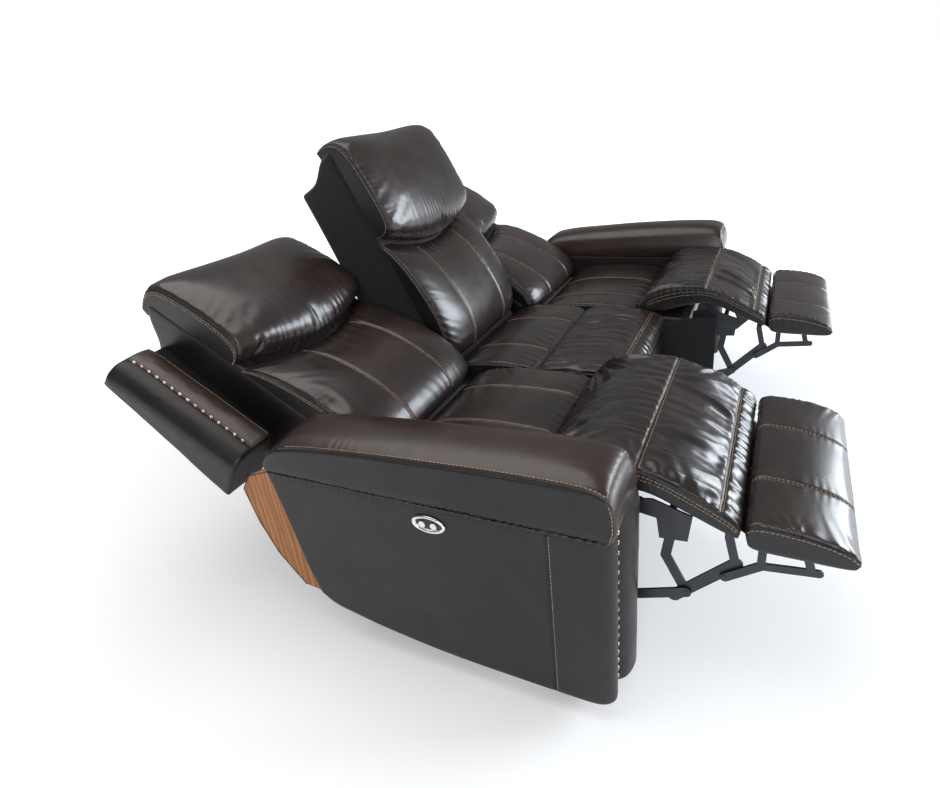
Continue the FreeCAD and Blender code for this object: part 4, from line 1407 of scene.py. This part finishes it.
for tag, s in SIDES.items():
    sd = 100 if tag == "right" else 700
    near = tag == "right"
    frm = "frame"
    seat_b, back_b = "seat_" + tag, "back_" + tag

    o = coarse["leg_pad_" + tag]
    refine(o, 2)
    sculpt(o, leg_pad_shape(o, sd))
    du, dv, dw = o["dims"]
    face = Side(o)
    batch = Batch()
    for i, line in enumerate((LINE1, LINE2)):
        for gap in (-0.0048, 0.0048):
            seam_stitches(batch, face, *ladder(face, line, line, 0.012, 0.988), gap=gap, seed=sd + i)
    out = Side(o, 1, 1.0)
    for h in (0.72, 0.56):
        seam_stitches(batch, out, *ladder(out, 0.10, 0.985, h, h), seed=sd + 5)
    inn = Side(o, 1, 0.0)
    for h in (0.72, 0.56):
        seam_stitches(batch, inn, *ladder(inn, 0.10, 0.985, h, h), seed=sd + 6)
    st = batch.build("leg_pad_stitches_" + tag, [M["thread"]])
    bend = (row(0.075, 0.45), row(-0.055, 0.45))
    attach(o, (seat_b, "footrest_" + tag), ["chaise_pad_" + tag], bend)
    attach(st, (seat_b, "footrest_" + tag), bend=bend)

    o = coarse["seat_" + tag]
    refine(o, 2)
    sculpt(o, seat_shape(o, sd + 1, SEAT_V))
    du, dv, dw = o["dims"]
    face = Side(o)
    batch = Batch()
    for k in SEAT_V:
        for gap in (-0.0042, 0.0042):
            seam_stitches(batch, face, *ladder(face, GROOVE + 0.03, 0.97, k, k), gap=gap, seed=sd + 10)
    st = batch.build("seat_stitches_" + tag, [M["thread"]])
    attach(o, seat_b, ["seat_cushion_" + tag])
    attach(st, seat_b)

    o = coarse["ottoman_" + tag]
    refine(o, 2)
    sculpt(o, ottoman_shape(o, sd + 2))
    face = Side(o)
    batch = Batch()
    for k in OTT_V:
        for gap in (-0.0042, 0.0042):
            seam_stitches(batch, face, *ladder(face, 0.03, 0.985, k, k), gap=gap, seed=sd + 11)
    for end in (0.0, 1.0):
        sf = Side(o, 1, end)
        seam_stitches(batch, sf, *ladder(sf, 0.04, 0.96, 0.84, 0.84), seed=sd + 12)
    st = batch.build("ottoman_stitches_" + tag, [M["thread"]])
    bend = (row(-0.212, 0.44), row(-0.29, 0.44))
    attach(o, ("footrest_" + tag, "ottoman_" + tag), ["ottoman_pad_" + tag], bend)
    attach(st, ("footrest_" + tag, "ottoman_" + tag), bend=bend)
    # the tape that closes the joint between the leg pad and the ottoman
    o = slab("footrest_tape_" + tag, lambda u, v, w: (s * (0.3585 + 0.473 * v), -0.1935 - 0.0335 * u, 0.4215 - 0.0235 * u + 0.002 * w), (0.041, 0.473, 0.002), [M["boxing"]], steps=(0.008, 0.02, 0.002), r=0.0006, near=1)
    attach(o, "footrest_" + tag)

    o = coarse["lumbar_" + tag]
    refine(o, 2)
    sculpt(o, lumbar_shape(o, sd + 3, BACK_V, (0.550, 0.190) if near else None))
    face = Side(o)
    batch = Batch()
    for k in BACK_V:
        for gap in (-0.0042, 0.0042):
            seam_stitches(batch, face, *ladder(face, 0.02, 0.96, k, k), gap=gap, seed=sd + 13)
    for end in (0.0, 1.0):
        sf = Side(o, 1, end)
        for h in (0.90, 0.83):
            seam_stitches(batch, sf, *ladder(sf, 0.03, 0.99, h, h), seed=sd + 14)
    p = coarse["head_pad_" + tag]
    refine(p, 2)
    sculpt(p, pillow_shape(p, sd + 4, (0.515, 0.050) if near else None))
    for end in (0.0, 1.0):
        sf = Side(p, 1, end)
        for h in (0.90, 0.83):
            seam_stitches(batch, sf, *ladder(sf, 0.02, 0.97, h, h), seed=sd + 15)
    st = batch.build("back_stitches_" + tag, [M["thread"]])
    bend = (row(*OUT(-0.05, 0.0)), row(*OUT(0.10, 0.0)))
    attach(o, (seat_b, back_b), ["back_cushion_" + tag], bend)
    attach(p, back_b, ["head_pillow_" + tag])
    attach(st, (seat_b, back_b), bend=bend)

    o = coarse["arm_top_" + tag]
    refine(o, 2)
    sculpt(o, arm_shape(o, sd + 5))
    face = Side(o)
    du, dv, dw = o["dims"]
    batch = Batch()
    seam_stitches(batch, face, *ladder(face, 0.010, 0.97, 1 - 0.0075 / dv, 1 - 0.0075 / dv), seed=sd + 16)
    seam_stitches(batch, face, *ladder(face, 0.0075 / du, 0.0075 / du, 0.16, 0.965), seed=sd + 17)
    sf = Side(o, 1, 1.0)
    seam_stitches(batch, sf, *ladder(sf, 0.0062 / du, 0.0062 / du, 0.02, 0.94), seed=sd + 18)
    st = batch.build("arm_top_stitches_" + tag, [M["thread"]])
    attach(o, frm, ["arm_pad_" + tag])
    attach(st, frm)

    # the arm's outer skin, front rolls and inner lining
    d = (SKIN.length, 0.021, 0.455)
    o = slab("arm_side_" + tag, side_panel(s), d, [M["leather_side"]], steps=(0.0165, 0.008, 0.0165), r=0.006, near=1)
    refine(o, 2)

    def panel(P):
        y, z = P["y"], P["z"]
        out = (P["v"] > 0.999) * 1.0
        m = out * 0.0012 * noise(y / 0.30, z / 0.24, seed=sd + 30)
        top = 0.5135 - z
        m = m + out * 0.0026 * folds(y, top, 0.0185, sd + 8, 1.3) * np.exp(-top / 0.012)
        q = np.abs(y - 0.132)
        flat = out * (np.abs(np.abs(P["x"]) - 1.0735) < 0.012)
        m = m + flat * groove(q, 0.0026, 0.0038)
        # painted shade under the welt at the panel's top, and along the sunken sewn groove
        seam_shade = out * 0.8 * np.exp(-top / 0.007) + flat * 0.6 * np.exp(-((q / 0.0045) ** 2))
        return m, seam_shade

    sculpt(o, panel)
    face = Side(o, 1, 1.0)
    batch = Batch()
    k = SKIN.at(1, 0.126)
    seam_stitches(batch, face, *ladder(face, k, k, 0.02, 0.985), seed=sd + 20)
    st = batch.build("arm_side_stitches_" + tag, [M["thread"]])
    attach(o, frm, ["arm_cover_" + tag])
    attach(st, frm)

    d = (ROLL.length, 0.016, 0.552)
    o = slab("arm_roll_" + tag, front_roll(s), d, [M["leather_side"]], steps=(0.012, 0.008, 0.018), r=0.005, near=1)
    refine(o, 2)
    sculpt(o, lambda P: ((P["v"] > 0.999) * (0.0016 * fbm(P["x"] / 0.06, P["z"] / 0.12, seed=sd + 31) + 0.0022 * folds(P["x"] + P["y"], 0.6 - P["z"], 0.022, sd + 9) * smooth(P["z"], 0.46, 0.6))))
    attach(o, frm)

    # lining on the arm's inner face
    low = Line([(0.088, 0.112), (0.40, 0.112), (0.80, 0.112)], 1)
    top = Line([(0.088, 0.516), (0.40, 0.516), (0.85, 0.516)], 1)
    o = slab("arm_lining_" + tag, board(0.8925, 0.9035, low, top, s, 0.002), (0.75, 0.012, 0.40), [M["leather_side"]], steps=(0.02, 0.01, 0.02), r=0.003, near=1)
    refine(o, 1)
    sculpt(o, lambda P: 0.0016 * fbm(P["y"] / 0.12, P["z"] / 0.10, seed=sd + 33))
    attach(o, frm)

    # row of gathers where the band meets the side panel: a thin puckered welt
    n, seg = 620, 8
    ys = np.linspace(0.845, 0.012, n)
    batch = Batch()
    t = 2 * math.pi * np.arange(seg) / seg
    ph = ys / 0.0185 + 0.6 * noise(ys / 0.05, seed=sd + 40)
    rad = 0.0030 + 0.0024 * (0.5 + 0.5 * np.cos(2 * math.pi * ph)) ** 1.5
    cx = 1.0745 + 0.0006 * noise(ys / 0.03, seed=sd + 41)
    zz = 0.5150 + 0.0012 * noise(ys / 0.06, seed=sd + 42)
    v = np.stack([s * (cx[:, None] + rad[:, None] * np.cos(t)), np.broadcast_to((ys - YC)[:, None], (n, seg)), zz[:, None] + 1.15 * rad[:, None] * np.sin(t)], -1).reshape(-1, 3)
    i, j = np.meshgrid(np.arange(n - 1), np.arange(seg), indexing="ij")
    jn = (j + 1) % seg
    q = np.stack([i * seg + j, i * seg + jn, (i + 1) * seg + jn, (i + 1) * seg + j], -1).reshape(-1, 4)
    if s > 0:
        q = q[:, ::-1]
    caps = np.array([np.arange(seg), (n - 1) * seg + np.arange(seg)[::-1]])
    if s < 0:
        caps = caps[:, ::-1]
    w = put_mesh("arm_welt_" + tag, v, [q, caps], [M["boxing"]])
    attach(w, frm)

    # dust panel that closes the seat's inner side, hung from the seat rail
    low = Line([(-0.045, 0.215), (0.30, 0.232), (0.60, 0.244)], 0)
    top = Line([(-0.045, 0.455), (0.08, 0.448), (0.13, 0.424), (0.60, 0.424)], 1)
    o = slab("seat_skirt_" + tag, board(0.2985, 0.3035, low, top, s, 0.0006), (0.645, 0.0055, 0.18), [M["fabric_black"]], steps=(0.02, 0.01, 0.02), r=0.0015, near=1)
    refine(o, 1)
    sculpt(o, lambda P: 0.0008 * fbm(P["y"] / 0.10, P["z"] / 0.06, seed=sd + 36))
    attach(o, seat_b)

    # flap behind the seat cushion that closes the slit under the back cushion
    o = slab("seat_flap_" + tag, lambda u, v, w: (s * (0.372 + 0.446 * v), 0.6475 + 0.068 * u, 0.4365 - 0.0245 * u + 0.002 * w), (0.072, 0.446, 0.002), [M["fabric_black"]], steps=(0.012, 0.02, 0.002), r=0.0006, near=1)
    attach(o, seat_b)

    # fabric edge strip on the arm's outer board, seen past the skin from behind
    rim = Line([(0.858, 0.500), (0.940, 0.470), (0.974, 0.425), (0.954, 0.320), (0.918, 0.225), (0.848, 0.130)], 0)
    o = slab("arm_edge_" + tag, lambda u, v, w: (s * (1.0375 + 0.0170 * v), rim(u)[0] + rim.normal(u)[0] * (0.0022 * w), rim(u)[1] + rim.normal(u)[1] * (0.0022 * w)), (rim.length, 0.017, 0.0022), [M["fabric_black"]], steps=(0.012, 0.006, 0.002), r=0.0008, near=1)
    attach(o, frm)

    # back shell, wing and the block that joins them
    d = (0.70, 0.588, 0.17)
    o = slab("back_shell_" + tag, shell(OUT, 0.306, 0.884, s, 0.012, 0.712), d, [M["leather_side"], M["boxing"]], step=0.03, r=0.014, near=2, index=lambda u, v, w: ((v < 1e-6) | (v > 1 - 1e-6) | (w > 1 - 1e-6)).astype(int))
    refine(o, 1)
    attach(o, back_b, ["back_cover_" + tag])
    d = (0.45, 0.138, 0.12)
    o = slab("back_wing_" + tag, wing(s), d, [M["leather_arm"], M["leather_side"]], step=0.014, r=0.008, near=1, index=lambda u, v, w: ((w < 1 - 1e-6) | (v > 0.53)).astype(int))
    refine(o, 2)

    def wing_shape(P):
        a, x = P["u"] * 0.45, P["v"] * 0.138
        top = P["top"]
        q = np.abs(x - 0.073)
        m = top * groove(q, 0.0030, 0.0045)
        e = x
        m = m + top * groove(e - 0.001, 0.0025, 0.0035)
        # painted shade along the wing's sunken sewn groove
        seam_shade = top * 0.5 * np.exp(-((q / 0.005) ** 2))
        m = m + 0.0014 * fbm(a / 0.10, x / 0.05, P["w"] * 1.0, seed=sd + 50)
        return m, seam_shade

    sculpt(o, wing_shape)
    face = Side(o)
    batch = Batch()
    seam_stitches(batch, face, *ladder(face, 0.02, 0.98, 0.06, 0.06), seed=sd + 21)
    st = batch.build("back_wing_stitches_" + tag, [M["thread"]])
    attach(o, back_b)
    attach(st, back_b)
    a = (0.292 + 0.0272 * np.arange(15) - 0.256) / 0.444
    pts, nrm = face(a, np.full(15, 0.073 / 0.138))
    tt = np.tile([0.0, OUT.c, OUT.s], (15, 1))
    v, p = stamp("", dome_template(0.0064, 0.0052), pts, tt, nrm, [])
    batch = Batch()
    batch.add(v, p)
    nails = batch.build("back_nails_" + tag, [M["bronze"]])
    attach(nails, back_b, ["back_nailheads_" + tag])
    o = slab("back_joint_" + tag, lambda u, v, w: (s * (0.880 + 0.056 * v), *OUT(0.27 + 0.42 * u, -0.272 + 0.03 * u + 0.085 * w)), (0.42, 0.056, 0.085), [M["boxing"]], step=0.02, r=0.006, near=1)
    refine(o, 1)
    attach(o, back_b)

# nails down the front of both arms
batch = Batch()
for s in (-1.0, 1.0):
    z = 0.086 + 0.0255 * np.arange(17)
    o3 = np.stack([np.full(17, s * 1.008), np.full(17, 0.0085 - YC), z], 1)
    v, p = stamp("", dome_template(0.0060, 0.0050), o3, np.tile([0.0, 0.0, 1.0], (17, 1)), np.tile([0.0, -1.0, 0.0], (17, 1)), [])
    batch.add(v, p)
nails = batch.build("arm_nails", [M["bronze"]])
attach(nails, "frame", ["arm_nailheads"])
for tag, s in SIDES.items():
    o = slab("arm_gutter_" + tag, lambda u, v, w: (s * (0.992 + 0.034 * u), 0.011 + 0.010 * v + 0 * u, 0.056 + 0.458 * w), (0.034, 0.010, 0.458), [M["leather_side"]], steps=(0.008, 0.006, 0.02), r=0.002, near=1)
    refine(o, 1)
    attach(o, "frame")

# middle seat and back
o = coarse["middle_seat"]
refine(o, 2)
sculpt(o, middle_seat_shape(o, 400))
face = Side(o)
batch = Batch()
for k in (0.27, 0.73):
    for gap in (-0.0042, 0.0042):
        seam_stitches(batch, face, *ladder(face, MG + 0.02, 0.98, k, k), gap=gap, seed=410)
for gap in (-0.0045, 0.0045):
    seam_stitches(batch, face, *ladder(face, MFRONT, MFRONT, 0.01, 0.99), gap=gap, seed=411)
attach(o, "frame", ["middle_seat_cushion"])
o = coarse["middle_lumbar"]
refine(o, 2)
sculpt(o, lumbar_shape(o, 420, MID_V))
face = Side(o)
for k in MID_V:
    for gap in (-0.0042, 0.0042):
        seam_stitches(batch, face, *ladder(face, 0.02, 0.96, k, k), gap=gap, seed=421)
for end in (0.0, 1.0):
    sf = Side(o, 1, end)
    seam_stitches(batch, sf, *ladder(sf, 0.03, 0.99, 0.90, 0.90), seed=422)
p = coarse["middle_head_pad"]
refine(p, 2)
sculpt(p, pillow_shape(p, 430))
for end in (0.0, 1.0):
    sf = Side(p, 1, end)
    seam_stitches(batch, sf, *ladder(sf, 0.02, 0.97, 0.90, 0.90), seed=431)
st = batch.build("middle_stitches", [M["thread"]])
attach(o, "frame", ["middle_back_cushion"])
attach(p, "frame", ["middle_head_pillow"])
attach(st, "frame")
d = (0.94, 0.588, 0.17)
o = slab("middle_shell", shell(MID, -0.294, 0.294, 1, -0.245, 0.700), d, [M["fabric_black"], M["leather_side"]], step=0.03, r=0.014, near=2, index=lambda u, v, w: (w < 1e-6).astype(int))
refine(o, 1)
attach(o, "frame", ["middle_back_cover"])
low = Line([(0.134, 0.095), (0.20, 0.095)], 0)
top = Line([(0.134, 0.420), (0.20, 0.420)], 0)
o = slab("middle_apron", lambda u, v, w: (-0.292 + 0.584 * v, 0.140 + 0.022 * u - 0.006 * np.sin(math.pi * w) * (1 - u), 0.094 + 0.300 * w), (0.022, 0.584, 0.30), [M["leather_side"]], steps=(0.01, 0.018, 0.018), r=0.006, near=1)
refine(o, 1)
sculpt(o, lambda P: 0.0022 * fbm(P["x"] / 0.12, P["z"] / 0.08, seed=440))
attach(o, "frame")


def switch_plate(tag, s):
    """An oval plate: a raised bright rim round a shallow black dish."""
    seg = 72
    t = 2 * math.pi * np.arange(seg) / seg
    cy, cz, la, lb = 0.397, 0.468, 0.0410, 0.0225

    def loops(prof):
        return np.concatenate([np.stack([np.full(seg, s * x), cy - YC + (la + g) * np.cos(t), cz + (lb + g) * np.sin(t)], -1) for g, x in prof])

    def tube(prof, name, mat, close):
        v = loops(prof)
        n = len(prof)
        i, j = np.meshgrid(np.arange(n - 1), np.arange(seg), indexing="ij")
        jn = (j + 1) % seg
        q = np.stack([i * seg + j, i * seg + jn, (i + 1) * seg + jn, (i + 1) * seg + j], -1).reshape(-1, 4)
        if s < 0:
            q = q[:, ::-1]
        polys = [q]
        if close:
            c = np.array([np.arange(seg)[::-1], (n - 1) * seg + np.arange(seg)])
            polys.append(c if s > 0 else c[:, ::-1])
        o = put_mesh(name, v, polys, [mat])
        return o

    rim = [(-0.0092, 1.0738), (0.0, 1.0738), (0.0008, 1.0752), (-0.0002, 1.0776), (-0.0020, 1.0791), (-0.0042, 1.0794), (-0.0062, 1.0784), (-0.0078, 1.0764), (-0.0086, 1.0746), (-0.0092, 1.0738)]
    o = tube(rim, "switch_rim_" + tag, M["nickel"], False)
    attach(o, "frame", ["switch_plates"])
    dish = [(-0.003, 1.0732), (-0.0072, 1.0750), (-0.0095, 1.0743), (-0.0125, 1.0737), (-0.0180, 1.0736)]
    o = tube(dish, "switch_dish_" + tag, M["plastic_black"], True)
    attach(o, "frame")


for tag, s in SIDES.items():
    switch_plate(tag, s)
for n, o in NODES.items():
    if n == "middle_frame" or n.startswith("back_frame"):
        for k in o.material_slots:
            if k.material == M["wood"]:
                k.material = M["wood_dark"]
